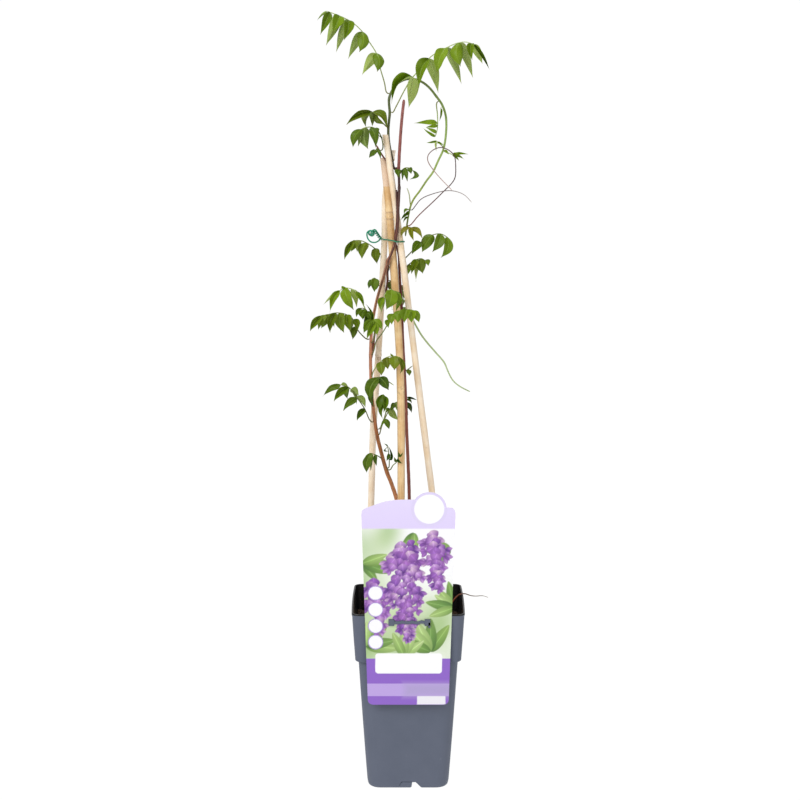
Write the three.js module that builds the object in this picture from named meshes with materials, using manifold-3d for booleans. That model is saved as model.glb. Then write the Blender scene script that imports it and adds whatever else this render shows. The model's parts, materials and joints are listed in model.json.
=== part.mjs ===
// Wisteria in a pot: a young twining climber, tied to three bamboo canes in a square nursery pot,
// with a blank hanging label. Millimetres, +Z up, +X to the right, +Y to the back.
// The origin is the middle of the foot that the pot stands on.
import * as THREE from "three";
import { mergeVertices } from "three/addons/utils/BufferGeometryUtils.js";
import Module from "manifold-3d";

const wasm = await Module();
wasm.setup();

// ---- Driving sizes ----
const CLEARANCE = 0.3; // between two pieces that touch
const POT_HEIGHT = 257.5;
const RIM_WIDTH = 154;
const BASE_WIDTH = 107;
const BODY_TOP_WIDTH = 137; // just under the collar
const COLLAR_BOTTOM_WIDTH = 145.8;
const COLLAR_HEIGHT = 69;
const POT_WALL = 1.6;
const FLOOR_UNDERSIDE = 10;
const FLOOR_THICKNESS = 2;
const SIDE_BOW = 1.5; // the compost pushes the two side walls out by this much at the rim
const SOIL_LEVEL = 218;
const LABEL_THICKNESS = 0.8;
const LABEL_BACK = -77.6;
const CANE_RADII = [5, 4.2]; // at the foot and at the top
const THICK_CANE_RADII = [5.1, 5.2];
const TIE_HEIGHT = 760;
const WIRE_RADIUS = 1;
const BLADE_THICKNESS = 0.6;
const RIB_RADIUS = 0.8;

// ---- Materials ----
const finish = (color, roughness) => new THREE.MeshStandardMaterial({ color, roughness, metalness: 0 });
const potPlastic = finish("#6d717e", 0.6);
const compost = finish("#2b211b", 0.95);
const card = finish("#e9e2f8", 0.4);
const paleCane = finish("#f3dcb8", 0.5);
const yellowCane = finish("#dfb67c", 0.5);
const greenWire = finish("#1f9674", 0.4);
const orangeBark = finish("#a9694a", 0.7);
const maroonBark = finish("#5a2a22", 0.6);
const shootGreen = finish("#5f7f2e", 0.5);
const paleGreen = finish("#9fb87a", 0.5);
const purpleTwig = finish("#6b4450", 0.6);
const leafGreen = finish("#4f8a1e", 0.5);

const plant = new THREE.Group();

// ---- Bodies ----

/** A manifold-3d solid of a closed geometry. */
function solid(geometry) {
  const bare = geometry.index ? geometry.toNonIndexed() : geometry.clone();
  bare.deleteAttribute("normal");
  bare.deleteAttribute("uv");
  const merged = mergeVertices(bare, 1e-4);
  return new wasm.Manifold(
    new wasm.Mesh({
      numProp: 3,
      vertProperties: merged.attributes.position.array,
      triVerts: new Uint32Array(merged.index.array),
    }),
  );
}

/** All of these closed geometries joined in one solid. */
function joined(geometries) {
  return geometries.map(solid).reduce((whole, part) => whole.add(part));
}

/** Adds a solid, or a closed geometry, to the plant as a named mesh. */
function add(name, body, material) {
  let geometry = body;
  if (!body.isBufferGeometry) {
    const { vertProperties, triVerts } = body.getMesh();
    geometry = new THREE.BufferGeometry();
    geometry.setAttribute("position", new THREE.BufferAttribute(vertProperties, 3));
    geometry.setIndex(new THREE.BufferAttribute(triVerts, 1));
  }
  const mesh = new THREE.Mesh(geometry, material);
  mesh.name = name;
  plant.add(mesh);
}

/** A closed body through rings of points, each ring anticlockwise as seen from the far end. */
function loft(rings) {
  const sides = rings[0].length;
  const faces = [];
  for (let ring = 0; ring + 1 < rings.length; ring++) {
    for (let side = 0; side < sides; side++) {
      const a = ring * sides + side;
      const b = ring * sides + ((side + 1) % sides);
      faces.push(a, b, b + sides, a, b + sides, a + sides);
    }
  }
  const last = (rings.length - 1) * sides;
  for (let side = 1; side + 1 < sides; side++) {
    faces.push(0, side + 1, side, last, last + side, last + side + 1);
  }
  const geometry = new THREE.BufferGeometry();
  geometry.setAttribute("position", new THREE.Float32BufferAttribute(rings.flat(2), 3));
  geometry.setIndex(faces);
  return geometry;
}

const vector = (point) => new THREE.Vector3(...point);
const smoothPath = (points) => new THREE.CatmullRomCurve3(points.map(vector), false, "centripetal");

/** The radius at a share of a rod's length, from radii that stand evenly along it. */
function radiusAt(radii, share) {
  const place = share * (radii.length - 1);
  const before = Math.min(Math.floor(place), radii.length - 2);
  return THREE.MathUtils.lerp(radii[before], radii[before + 1], place - before);
}

const ringCount = (path, step) => Math.max(2, Math.round(path.getLength() / step));

/** A round rod along a smooth path. Swell makes it thicker and longer all over, for the hole it stands in. */
function rod({ points, radii, sides, step }, swell = 0) {
  const path = smoothPath(points);
  const rings = ringCount(path, step);
  const frames = path.computeFrenetFrames(rings);
  const outline = [];
  for (let ring = 0; ring <= rings; ring++) {
    const share = ring / rings;
    const radius = radiusAt(radii, share) + swell;
    const end = ring === 0 ? -swell : ring === rings ? swell : 0;
    const middle = path.getPointAt(share).addScaledVector(frames.tangents[ring], end);
    const around = [];
    for (let side = 0; side < sides; side++) {
      const angle = (2 * Math.PI * side) / sides;
      const point = middle.clone();
      point.addScaledVector(frames.normals[ring], radius * Math.cos(angle));
      point.addScaledVector(frames.binormals[ring], radius * Math.sin(angle));
      around.push(point.toArray());
    }
    outline.push(around);
  }
  return loft(outline);
}

// ---- Pot ----
// One moulded piece: foot ring with a notch cut in each side, raised floor, tapered body, a collar that
// stands out over a step, and a thicker lip.

const CORNER_STEPS = 3;
const SIDE_STEPS = 2;

/** The pot's square outline with round corners at one height, its sides bowed out by bow. */
function potOutline({ z, width, corner, bow = 0 }) {
  const half = width / 2;
  const quarter = [];
  for (let step = 0; step <= CORNER_STEPS; step++) {
    const angle = (Math.PI / 2) * (step / CORNER_STEPS);
    quarter.push([half - corner + corner * Math.cos(angle), half - corner + corner * Math.sin(angle)]);
  }
  for (let step = 1; step < SIDE_STEPS; step++) {
    quarter.push([(half - corner) * (1 - (2 * step) / SIDE_STEPS), half]);
  }
  const outline = [];
  for (let turn = 0; turn < 4; turn++) {
    const [cos, sin] = [[1, 0], [0, 1], [-1, 0], [0, -1]][turn];
    for (const [x, y] of quarter) {
      const turned = [x * cos - y * sin, x * sin + y * cos];
      const bowed = 1 + (bow / half) * (1 - (turned[1] / half) ** 2);
      outline.push([turned[0] * bowed, turned[1], z]);
    }
  }
  return outline;
}

const COLLAR_BOTTOM = POT_HEIGHT - COLLAR_HEIGHT;
const outside = [
  { z: 0, width: BASE_WIDTH, corner: 15 },
  { z: 2, width: BASE_WIDTH + 4.5, corner: 17 },
  { z: 7, width: BASE_WIDTH + 7, corner: 19 },
  { z: COLLAR_BOTTOM - 2, width: BODY_TOP_WIDTH, corner: 14 },
  { z: COLLAR_BOTTOM, width: COLLAR_BOTTOM_WIDTH - 1, corner: 12 },
  { z: COLLAR_BOTTOM + 1, width: COLLAR_BOTTOM_WIDTH, corner: 12 },
  { z: POT_HEIGHT - 4, width: RIM_WIDTH - 1.4, corner: 10, bow: SIDE_BOW },
  { z: POT_HEIGHT - 3, width: RIM_WIDTH, corner: 10, bow: SIDE_BOW },
  { z: POT_HEIGHT, width: RIM_WIDTH, corner: 10, bow: SIDE_BOW },
];

/** The pot's inner face, from the floor up to a height over the rim, drawn in further by inset. */
function inside(inset) {
  const wall = 2 * (POT_WALL + inset);
  return [
    { z: FLOOR_UNDERSIDE + FLOOR_THICKNESS + inset, width: BASE_WIDTH + 5 - wall, corner: 16 },
    { z: COLLAR_BOTTOM, width: BODY_TOP_WIDTH - wall, corner: 12 },
    { z: COLLAR_BOTTOM + 3, width: COLLAR_BOTTOM_WIDTH - wall, corner: 10 },
    { z: POT_HEIGHT + 1, width: RIM_WIDTH - 2 - wall, corner: 9, bow: SIDE_BOW },
  ];
}

const FOOT_WALL = 2.5;
const FOOT_PAD_RADIUS = 12;
const ARCH_FOOT = [2, 20]; // its left and right ends at the foot
const ARCH_TOP = [5.5, 11]; // and at its top
const ARCH_HEIGHT = 9.5;
const DRAIN_RADIUS = 4.5;
const DRAIN_OFFSET = 30;

/** A lopsided notch, right of the middle, through the foot ring on the side that the turn gives. */
function drainArch(turn) {
  const shape = new THREE.Shape([
    new THREE.Vector2(ARCH_FOOT[0], -1),
    new THREE.Vector2(ARCH_FOOT[1], -1),
    new THREE.Vector2(ARCH_TOP[1], ARCH_HEIGHT),
    new THREE.Vector2(ARCH_TOP[0], ARCH_HEIGHT),
  ]);
  const arch = new THREE.ExtrudeGeometry(shape, { depth: 12, bevelEnabled: false });
  arch.rotateX(Math.PI / 2);
  arch.translate(0, -BASE_WIDTH / 2 + 7, 0);
  return arch.rotateZ(turn);
}

/** A box between two corners. */
function block([x0, y0, z0], [x1, y1, z1]) {
  const box = new THREE.BoxGeometry(x1 - x0, y1 - y0, z1 - z0);
  return box.translate((x0 + x1) / 2, (y0 + y1) / 2, (z0 + z1) / 2);
}

/** The upright cylinder from one height to another. */
function post(radius, x, y, z0, z1, sides = 16) {
  const cylinder = new THREE.CylinderGeometry(radius, radius, z1 - z0, sides);
  return cylinder.rotateX(Math.PI / 2).translate(x, y, (z0 + z1) / 2);
}

const STRAP_LEFT = -27;
const STRAP_RIGHT = 30;
const STRAP_HEIGHT = 248;
const STRAP_FRONT = -81;
const STRAP_BACK = LABEL_BACK - LABEL_THICKNESS - CLEARANCE;
const STRAP_LUG_WIDTH = 8;

/** The thin strap across the label: its lower edge waves, and a small bump stands on every wave. */
function waveStrap() {
  const rings = [];
  const steps = 16;
  for (let step = 0; step <= steps; step++) {
    const share = step / steps;
    const x = THREE.MathUtils.lerp(STRAP_LEFT + 2, STRAP_RIGHT - 2, share);
    const wave = Math.sin(share * Math.PI * 8);
    const low = STRAP_HEIGHT - 2.4 + 0.5 * wave;
    const high = STRAP_HEIGHT + 1.6 + 0.7 * wave;
    rings.push([
      [x, STRAP_FRONT + 0.3, low],
      [x, STRAP_BACK, low],
      [x, STRAP_BACK, high],
      [x, STRAP_FRONT + 0.3, high],
    ]);
  }
  return loft(rings);
}

function pot() {
  let body = solid(loft(outside.map(potOutline)));
  body = body.subtract(solid(loft(inside(0).map(potOutline))));
  const recess = [
    { z: -1, width: BASE_WIDTH - 2 * FOOT_WALL, corner: 13 },
    { z: FLOOR_UNDERSIDE, width: BASE_WIDTH + 4 - 2 * FOOT_WALL, corner: 15 },
  ];
  body = body.subtract(solid(loft(recess.map(potOutline))));
  for (let side = 0; side < 4; side++) {
    body = body.subtract(solid(drainArch((side * Math.PI) / 2)));
  }
  const pad = post(FOOT_PAD_RADIUS, 0, 0, 0, FLOOR_UNDERSIDE + 1, 24);
  const rib = block([-BASE_WIDTH / 2 + 3, -1, 3], [BASE_WIDTH / 2 - 3, 1, FLOOR_UNDERSIDE + 1]);
  const crossRibs = [rib.clone().rotateZ(Math.PI / 4), rib.clone().rotateZ(-Math.PI / 4)];
  body = body.add(joined([pad, ...crossRibs]));
  for (const [x, y] of [[1, 0], [0, 1], [-1, 0], [0, -1]]) {
    body = body.subtract(solid(post(DRAIN_RADIUS, x * DRAIN_OFFSET, y * DRAIN_OFFSET, 5, 14)));
  }
  const lugs = [STRAP_LEFT, STRAP_RIGHT - STRAP_LUG_WIDTH].map((x) =>
    block([x, STRAP_FRONT, STRAP_HEIGHT - 5], [x + STRAP_LUG_WIDTH, -73, STRAP_HEIGHT + 4]),
  );
  const hook = block([STRAP_RIGHT - 3, STRAP_FRONT, STRAP_HEIGHT - 8], [STRAP_RIGHT, STRAP_BACK, STRAP_HEIGHT]);
  return body.add(joined([waveStrap(), hook, ...lugs]));
}

// ---- Canes ----
// Three bamboo canes that lean together and cross just under their tops. Each has a swollen ring at its joints.

const canes = {
  cane_right: {
    points: [
      [50, 14, 30], [54, 17, 120], [57.5, 19, 185], [55, 20, 235], [32.3, 8, 417], [15, 0, 553], [-7.6, -8.6, 733],
      [-20.9, -8.2, 831], [-25.9, -10.7, 866], [-31, -11.5, 901],
    ],
    radii: CANE_RADII,
    joints: [],
    material: paleCane,
  },
  cane_middle: {
    points: [
      [-9, -44, 25], [-9, -51, 130], [-9, -50, 235], [-9.7, -33, 408], [-9.9, -20.3, 531], [-12.6, -11.4, 618],
      [-17.6, -3.7, 691], [-22, 0, 752], [-28.7, 1, 831], [-33, 1, 870],
    ],
    radii: THICK_CANE_RADII,
    joints: [791, 800],
    material: yellowCane,
  },
  cane_left: {
    points: [
      [-49.5, 27.6, 30], [-54.8, 30.5, 120], [-56.3, 31.5, 185], [-56.5, 30, 235], [-51.3, 25, 407], [-48.4, 22, 499],
      [-42, 18.7, 588], [-35.3, 14.7, 702], [-32.1, 13.3, 765], [-31, 12.4, 820], [-20.9, 11.5, 880],
    ],
    radii: CANE_RADII,
    joints: [600],
    material: paleCane,
  },
};
const CANE_SIDES = 10;

/** The point where a path reaches a height. */
function pointAtHeight(path, height) {
  let low = 0;
  let high = 1;
  while (high - low > 1e-5) {
    const middle = (low + high) / 2;
    if (path.getPointAt(middle).z < height) low = middle;
    else high = middle;
  }
  return path.getPointAt(low);
}

/** A cane's radius at a height, without its joints. */
function caneRadius({ points, radii }, height) {
  const [low, high] = [points[0][2], points.at(-1)[2]];
  return THREE.MathUtils.mapLinear(height, low, high, ...radii);
}

const JOINT_SWELL = 0.6;

/** A cane's heights from foot to top, each with how far the culm swells there. */
function caneHeights({ points, joints }) {
  const bends = points.map((point) => ({ z: point[2], swell: 0 }));
  const rings = joints.flatMap((z) => [
    { z: z - 3.2, swell: 0 },
    { z: z - 1, swell: JOINT_SWELL },
    { z: z + 1, swell: JOINT_SWELL * 0.4 },
    { z: z + 3.2, swell: 0 },
  ]);
  return [...bends, ...rings].sort((low, high) => low.z - high.z);
}

/** A round culm along its path. Clearance makes it thicker and longer, for the hole it stands in. */
function cane(each, clearance = 0) {
  const path = smoothPath(each.points);
  const heights = caneHeights(each);
  const rings = heights.map(({ z, swell }, index) => {
    const end = index === 0 ? -clearance : index === heights.length - 1 ? clearance : 0;
    const middle = pointAtHeight(path, z);
    const radius = caneRadius(each, z) + swell + clearance;
    const ring = [];
    for (let side = 0; side < CANE_SIDES; side++) {
      const angle = (2 * Math.PI * side) / CANE_SIDES;
      ring.push([middle.x + radius * Math.cos(angle), middle.y + radius * Math.sin(angle), middle.z + end]);
    }
    return ring;
  });
  return loft(rings);
}

// ---- Woody stems and shoots ----
// Each is one or more rods grown together. Where two strands part and meet again they hold a cane between them.

const stems = {
  stem_main: {
    material: orangeBark,
    rods: [
      // the stem, from its root crown round the left cane and up to the tie, then on to its top
      {
        points: [
          [2, 1, 110], [-2, 0, 160], [-2, 0, 205], [-3, 0, 250], [-5, -1, 314], [-11.5, -5, 372], [-16.3, -8, 403],
          [-23.9, -9.3, 427], [-29.4, -10, 441], [-36.5, -8, 466], [-42.6, -6, 491], [-46.4, -4, 516],
          [-49.8, -2, 545], [-51.2, -1, 571], [-51.4, -1, 614], [-50, 0, 637], [-48.1, 1, 653], [-42, -1, 682],
          [-36, -3.5, 702], [-31, -7, 720], [-27, -9, 733], [-22.5, -11.9, 744], [-18.8, -15, 755],
          [-16, -17.6, 767], [-14, -18.8, 783], [-13.4, -18.4, 803], [-12.4, -16.2, 824], [-13, -8, 857],
        ],
        radii: [3, 5, 4, 3.2, 3, 2.8, 2.6, 2.4, 2.2, 2, 2, 1.7, 1.8],
        sides: 7,
        step: 13,
      },
      // the straight pruned top
      {
        points: [[-13.5, -9.5, 845], [-12, -6, 878], [-9, -2, 920], [-6, 0, 947]],
        radii: [2.2, 2],
        sides: 7,
        step: 50,
      },
      // the second strand, which parts from the first and passes behind the left cane
      {
        points: [
          [-51.5, -1, 596], [-48, 7, 616], [-45.7, 19.5, 632], [-41, 24, 650], [-36, 22.8, 670], [-30.7, 19.2, 688],
          [-28.3, 12.5, 703], [-28.5, 5, 716], [-27, -6, 731],
        ],
        radii: [1.8, 1.5, 1.6, 1.9],
        sides: 6,
        step: 11,
      },
    ],
    // swollen knots where strands meet and where old shoots were
    knots: [
      [-27, -8, 732, 3.4], [-18.5, -15.5, 755, 2.6], [-12.6, -13.8, 830, 2.4], [-49.5, -0.5, 604, 2.7],
      [-27, -10, 443, 3.1],
    ],
  },
  stem_dark: {
    material: maroonBark,
    rods: [
      {
        points: [
          [8, 8, 192], [7, 7, 222], [4, 5, 260], [2.4, 3, 312], [1.6, -2, 371], [1.4, -4, 413], [-0.1, -3, 452],
          [-2.2, -1, 502], [-3.9, 0.6, 553], [-5.7, 2.2, 591], [-7.1, 2.8, 616], [-9, 3.3, 664], [-11, 4.5, 699],
          [-12.3, 4, 722], [-12.6, 1, 736], [-14.3, -3.4, 746], [-16.9, -7.7, 754], [-17.9, -11.4, 761],
          [-17, -14.4, 771], [-15.6, -15.6, 783], [-15, -15.2, 800], [-15.4, -14.2, 815], [-15.8, -13.2, 828],
        ],
        radii: [2.5, 2.5, 2.4, 2.4, 2.3, 2.1, 2, 1.7, 1.4],
        sides: 6,
        step: 13,
      },
    ],
    knots: [[-15.5, -14, 827, 1.8]],
  },
  shoot_long: {
    material: shootGreen,
    rods: [
      {
        points: [
          [-19, -3, 856], [-22.5, 0, 872], [-26, 1, 890], [-27, 1, 905], [-26, 2, 919], [-25, 3, 929], [-26, 4, 947],
          [-23, 5, 957], [-15, 7, 968], [-3, 10, 974], [9, 12, 974], [19, 13, 970], [28, 14, 963], [37, 14, 952],
          [45, 13, 941], [50, 12, 927], [51, 10, 914], [50, 8, 897], [47, 6, 881], [40, 4, 866], [33, 2, 851],
          [24, 0, 839], [16, -2, 827], [7, -4, 815], [3, -5, 806], [1, -6, 798], [-1, -7, 787], [-3, -9, 774],
          [-4, -11, 766],
        ],
        radii: [1.9, 1.8, 1.7, 1.6, 1.5, 1.4, 1.3, 1.1],
        sides: 5,
        step: 12,
      },
      // its soft tip, which turns up
      { points: [[3, -5, 805], [2, -3, 814], [1, -1, 822], [-2, 1, 830]], radii: [0.9, 0.7], sides: 5, step: 9 },
    ],
    knots: [[-26, 4, 948, 2.1], [-25, 3, 928, 2], [37, 14, 952, 1.8]],
  },
  twig_cut: {
    material: orangeBark,
    rods: [
      {
        points: [[-26, -5, 863], [-31, -6.5, 868], [-37, -10, 877], [-43, -14, 887]],
        radii: [1.1, 1.2],
        sides: 6,
        step: 8,
      },
    ],
    knots: [],
  },
  tendril_loop: {
    material: purpleTwig,
    rods: [
      {
        points: [
          [1.5, -10, 780], [13, -12, 793], [36, -15, 815], [48, -17, 827], [57, -18, 836], [62, -18, 844],
          [63, -17, 858], [61, -15, 873],
          [53, -12, 881], [42, -9, 884], [32, -8, 880], [26, -9, 873], [26, -11, 866], [32, -14, 856], [44, -21, 842],
          [58, -25, 828],
        ],
        radii: [0.8, 0.7, 0.6],
        sides: 4,
        step: 9,
      },
    ],
    knots: [],
  },
  tendril_arc: {
    material: purpleTwig,
    rods: [
      {
        points: [[4, -5, 800], [17, -1, 815], [33, 2, 822], [52, 6, 826], [64, 9, 825], [76, 12, 820], [86, 14, 810]],
        radii: [0.7, 0.5],
        sides: 4,
        step: 12,
      },
    ],
    knots: [],
  },
  shoot_pale: {
    material: paleGreen,
    rods: [
      {
        points: [
          [-3, 12, 662], [5, 18, 652], [9, 20, 644], [18, 22, 628], [27, 23, 616], [39, 24, 602], [50, 24, 589],
          [55, 24, 577], [62, 24, 564], [71, 24, 556], [86, 24, 548],
        ],
        radii: [1.3, 1.2, 0.9],
        sides: 5,
        step: 14,
      },
    ],
    knots: [[27, 23, 616, 1.4], [50, 24, 588, 1.4]],
  },
};

/** Where a side shoot or a leaf's stalk meets a stem: just off the bark, on the side of the next point. */
function footOn(stemName, next, radius) {
  let best = { distance: Infinity };
  for (const { points, radii } of stems[stemName].rods) {
    const path = smoothPath(points);
    for (let step = 0; step <= 400; step++) {
      const share = step / 400;
      const middle = path.getPointAt(share);
      const distance = middle.distanceTo(next);
      if (distance < best.distance) best = { distance, middle, bark: radiusAt(radii, share) };
    }
  }
  const outward = next.clone().sub(best.middle).normalize();
  return best.middle.addScaledVector(outward, best.bark + CLEARANCE + 0.1 * radius);
}

/** The side shoots start on another stem, so their first point is worked out. */
const grownFrom = {
  shoot_long: "stem_main",
  twig_cut: "shoot_long",
  tendril_loop: "shoot_long",
  tendril_arc: "shoot_long",
  shoot_pale: "stem_dark",
};
for (const [name, parent] of Object.entries(grownFrom)) {
  const first = stems[name].rods[0];
  const foot = footOn(parent, vector(first.points[0]), first.radii[0]);
  first.points = [foot.toArray(), ...first.points];
}

function stem({ rods, knots }) {
  const balls = knots.map(([x, y, z, radius]) => new THREE.IcosahedronGeometry(radius, 0).translate(x, y, z));
  return joined([...rods.map((each) => rod(each)), ...balls]);
}

// ---- Leaves ----
// A wisteria leaf is a thin stalk and rib with ovate, pointed leaflets in pairs and one at its end.
// rib: points from near the stem to the leaf's end. leaflets: the share of the rib where each one sits, its
// reach to the right, to the back and up from there to its tip, its greatest width, and how far its middle
// is swept sideways, to the right where it hangs down.

const leaves = [
  {
    name: "leaf_top_left",
    on: "shoot_long",
    rib: [
      [-29, 3, 956], [-32, 0, 969], [-37, -4, 986], [-42, -8, 1006], [-52, -12, 1022],
      [-61, -15, 1035], [-73, -18, 1046], [-86, -20, 1053], [-107, -23, 1061],
    ],
    leaflets: [
      [0.4, 1, -9, -24, 15, 3],
      [0.4, -19, 9, -28, 14, -1],
      [0.63, -4, -9, -26, 16, 3],
      [0.63, -19, 10, -35, 13, -1],
      [0.79, -6, -9, -26, 14, 2],
      [0.79, -17, 10, -41, 12, -2],
      [0.88, -9, -8, -21, 16, 1],
      [0.89, -17, 9, -38, 14, 0],
      [0.97, -13, -6, -29, 12, 0],
      [1, -13, 2, -12, 3, -1],
    ],
  },
  {
    name: "leaf_top_right",
    on: "shoot_long",
    rib: [
      [-21, 2, 930], [-17, 0, 937], [-6, -6, 958], [3, -10, 973], [10, -14, 981], [30, -19, 1003],
      [52, -24, 1015], [65, -27, 1020], [75, -30, 1021], [85, -32, 1018],
    ],
    leaflets: [
      [0.37, -28, -12, -34, 11, -7],
      [0.37, -5, 5, -40, 16, 0],
      [0.58, -13, -12, -38, 16, -4],
      [0.58, 13, 7, -44, 15, 2],
      [0.75, -11, -11, -33, 16, -3],
      [0.76, 20, 8, -47, 12, 1],
      [0.86, 3, -10, -30, 17, -3],
      [0.88, 18, 8, -46, 12, 0],
      [0.98, 1, -8, -21, 10, -2],
      [1, 12, 2, -25, 11, 0],
      [1, 21, -3, -33, 5, 2],
    ],
  },
  {
    name: "leaf_cluster_upper",
    on: "shoot_long",
    rib: [[-29, 0, 911], [-32, -3, 914], [-40, -9, 922], [-46, -13, 929], [-50, -16, 932]],
    leaflets: [
      [1, -32, -4, -18, 10, -6],
      [0.98, -7, 2, -21, 10, -5],
      [0.98, 1, 3, -21, 8, 2],
      [0.93, 20, -5, -21, 11, 5],
      [0.77, 12, -9, -13, 9, -1],
    ],
  },
  {
    name: "leaf_cluster_middle",
    on: "twig_cut",
    rib: [
      [-35, -13, 881], [-34, -15, 885], [-35, -18, 894], [-38, -22, 902], [-42, -25, 908],
      [-50, -27, 911], [-58, -29, 910], [-63, -31, 908],
    ],
    leaflets: [
      [0.33, -7, -3, 5, 2, -2],
      [0.67, 2, -4, -8, 8, 2],
      [0.75, 6, -5, -27, 12, 2],
      [0.89, 4, 1, -28, 15, -3],
      [0.99, -11, -3, -24, 12, -4],
      [1, -4, 4, -22, 8, 2],
    ],
  },
  {
    name: "leaf_cluster_lower",
    on: "twig_cut",
    rib: [[-43, -18, 881], [-46, -21, 880]],
    leaflets: [
      [0.63, -9, -3, -11, 8, -2],
      [0.34, 5, -5, -14, 5, 1],
    ],
  },
  {
    name: "leaf_curled",
    on: "stem_main",
    rib: [[-11, -6, 849], [-10, -10, 852], [-5, -17, 857], [2, -22, 857], [6, -25, 854]],
    leaflets: [
      [0.34, -3, -7, -10, 10, -3],
      [0.46, -2, -7, -14, 5, 1],
      [0.55, 3, -6, -17, 7, 1],
      [0.76, 3, -5, -8, 7, 1],
      [1, -4, -6, -11, 7, 7],
    ],
  },
  {
    name: "leaf_olive",
    on: "shoot_long",
    rib: [[-1, -12, 778], [4, -16, 778]],
    leaflets: [
      [0.69, -12, -4, -13, 7, -3],
      [0.46, -5, -4, 0, 4, -1],
      [1, 3, -5, -18, 7, 0],
      [1, 14, -3, -14, 8, 4],
    ],
  },
  {
    name: "leaf_tie_right",
    on: "stem_dark",
    rib: [
      [-9, 7, 731], [-4, 8, 735], [4, 9, 743], [18, 12, 757], [31, 16, 765], [44, 20, 767],
      [54, 22, 762],
    ],
    leaflets: [
      [0.49, -12, -6, -16, 12, -2],
      [0.73, -15, -7, -23, 16, -2],
      [0.87, -12, -7, -24, 14, 2],
      [0.99, -9, -2, -28, 13, 5],
    ],
  },
  {
    name: "leaf_tie_left",
    on: "stem_main",
    rib: [
      [-28, 8, 716], [-26, 13, 721], [-30, 22, 731], [-38, 24, 739], [-45, 14, 747], [-56, -3, 756],
      [-65, -9, 760], [-75, -14, 760],
    ],
    leaflets: [
      [0.54, 4, -5, -21, 13, -2],
      [0.78, -5, -7, -22, 12, -3],
      [0.76, -4, 5, -15, 7, 1],
      [0.9, -3, 7, -16, 9, 0],
      [0.94, -7, -6, -15, 10, -1],
      [1, -11, -2, -25, 9, -3],
    ],
  },
  {
    name: "leaf_right_dark",
    on: "stem_dark",
    rib: [[-7, 8, 719], [1, 14, 726], [9, 19, 731], [18, 23, 733], [23, 26, 730]],
    leaflets: [
      [0.4, -2, -4, -14, 7, 0],
      [0.69, -7, -6, -19, 10, -2],
      [0.74, -3, 2, -31, 7, 0],
      [0.85, 2, -6, -20, 15, -2],
      [0.98, 5, -2, -8, 8, 2],
    ],
  },
  {
    name: "leaf_crinkled",
    on: "stem_main",
    rib: [[-41, -4, 698], [-42, -9, 705], [-46, -15, 710], [-50, -19, 708]],
    leaflets: [
      [0.37, -1, -3, -10, 7, -2],
      [0.69, -1, -5, -18, 12, -2],
      [0.97, -4, -2, -13, 6, -1],
    ],
  },
  {
    name: "leaf_behind_dark",
    on: "stem_main",
    rib: [[-26, 10, 704], [-23, 8, 704], [-19, 8, 704], [-16, 9, 703]],
    leaflets: [
      [0.36, 0, -5, -16, 10, 0],
      [0.61, 3, -2, -15, 7, 0],
    ],
  },
  {
    name: "leaf_light",
    on: "stem_dark",
    rib: [
      [-9, 0, 674], [-9, -7, 680], [-12, -14, 687], [-19, -24, 693], [-26, -30, 696], [-34, -35, 686],
    ],
    leaflets: [
      [0.34, -5, -4, -20, 8, -1],
      [0.62, 4, -6, -22, 10, 3],
      [0.71, -6, -6, -27, 19, 2],
      [1, -4, -4, -16, 9, -2],
      [1, -3, 2, -22, 7, 1],
      [0.79, 5, 2, -27, 5, 1],
    ],
  },
  {
    name: "leaf_between_canes",
    on: "stem_dark",
    rib: [[-7, 6, 698], [-8, 9, 690], [-7, 12, 679], [-8, 15, 667]],
    leaflets: [
      [0.09, -3, 3, -10, 5, -1],
      [0.34, 4, 2, -11, 6, 0],
      [0.67, -2, 2, -11, 6, 0],
      [1, 3, 2, -9, 7, 1],
    ],
  },
  {
    name: "leaf_left_light",
    on: "stem_main",
    rib: [
      [-54, 3, 658], [-61, 8, 670], [-68, 13, 683], [-73, 16, 690], [-88, 20, 693], [-94, 22, 689],
    ],
    leaflets: [
      [0.62, 11, -5, -20, 7, 3],
      [0.73, 7, 5, -25, 10, 1],
      [0.89, 13, -7, -29, 15, -1],
      [1, -14, -5, -29, 10, -2],
      [1, -23, 3, -20, 5, -2],
      [0.94, 6, -3, 2, 4, 2],
    ],
  },
  {
    name: "leaf_narrow_left",
    on: "stem_main",
    rib: [[-48, -9, 645], [-51, -11, 648]],
    leaflets: [
      [1, -7, -2, 27, 4, -4],
    ],
  },
  {
    name: "leaf_left_dark",
    on: "stem_main",
    rib: [[-51, -5, 646], [-54, -10, 656], [-58, -17, 668], [-64, -22, 670]],
    leaflets: [
      [0.55, -6, -4, -19, 10, 0],
      [0.66, 6, -5, -12, 10, 3],
      [0.79, -3, -5, -14, 12, -3],
      [1, -6, -3, -12, 7, -3],
    ],
  },
  {
    name: "leaf_left_large",
    on: "stem_main",
    rib: [
      [-56, -3, 625], [-61, -6, 629], [-69, -10, 639], [-72, -14, 649], [-78, -18, 657],
      [-86, -22, 662], [-98, -27, 664], [-109, -31, 662], [-118, -34, 661],
    ],
    leaflets: [
      [0.33, -5, -5, -18, 9, -1],
      [0.46, 6, -6, -16, 10, 2],
      [0.55, 2, 3, -25, 10, 2],
      [0.59, 5, -7, -21, 13, -2],
      [0.69, 5, -8, -26, 14, -4],
      [0.69, 0, 4, -25, 10, 0],
      [0.77, -7, -6, -26, 12, -4],
      [0.79, 0, 5, -20, 8, -1],
      [0.87, -11, -3, -19, 10, 0],
      [0.92, -10, -6, -20, 10, -3],
      [0.99, -15, -2, -21, 10, -3],
    ],
  },
  {
    name: "leaf_front",
    on: "stem_main",
    rib: [[-50, -4, 620], [-46, -9, 628], [-47, -17, 642], [-48, -23, 654]],
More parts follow.
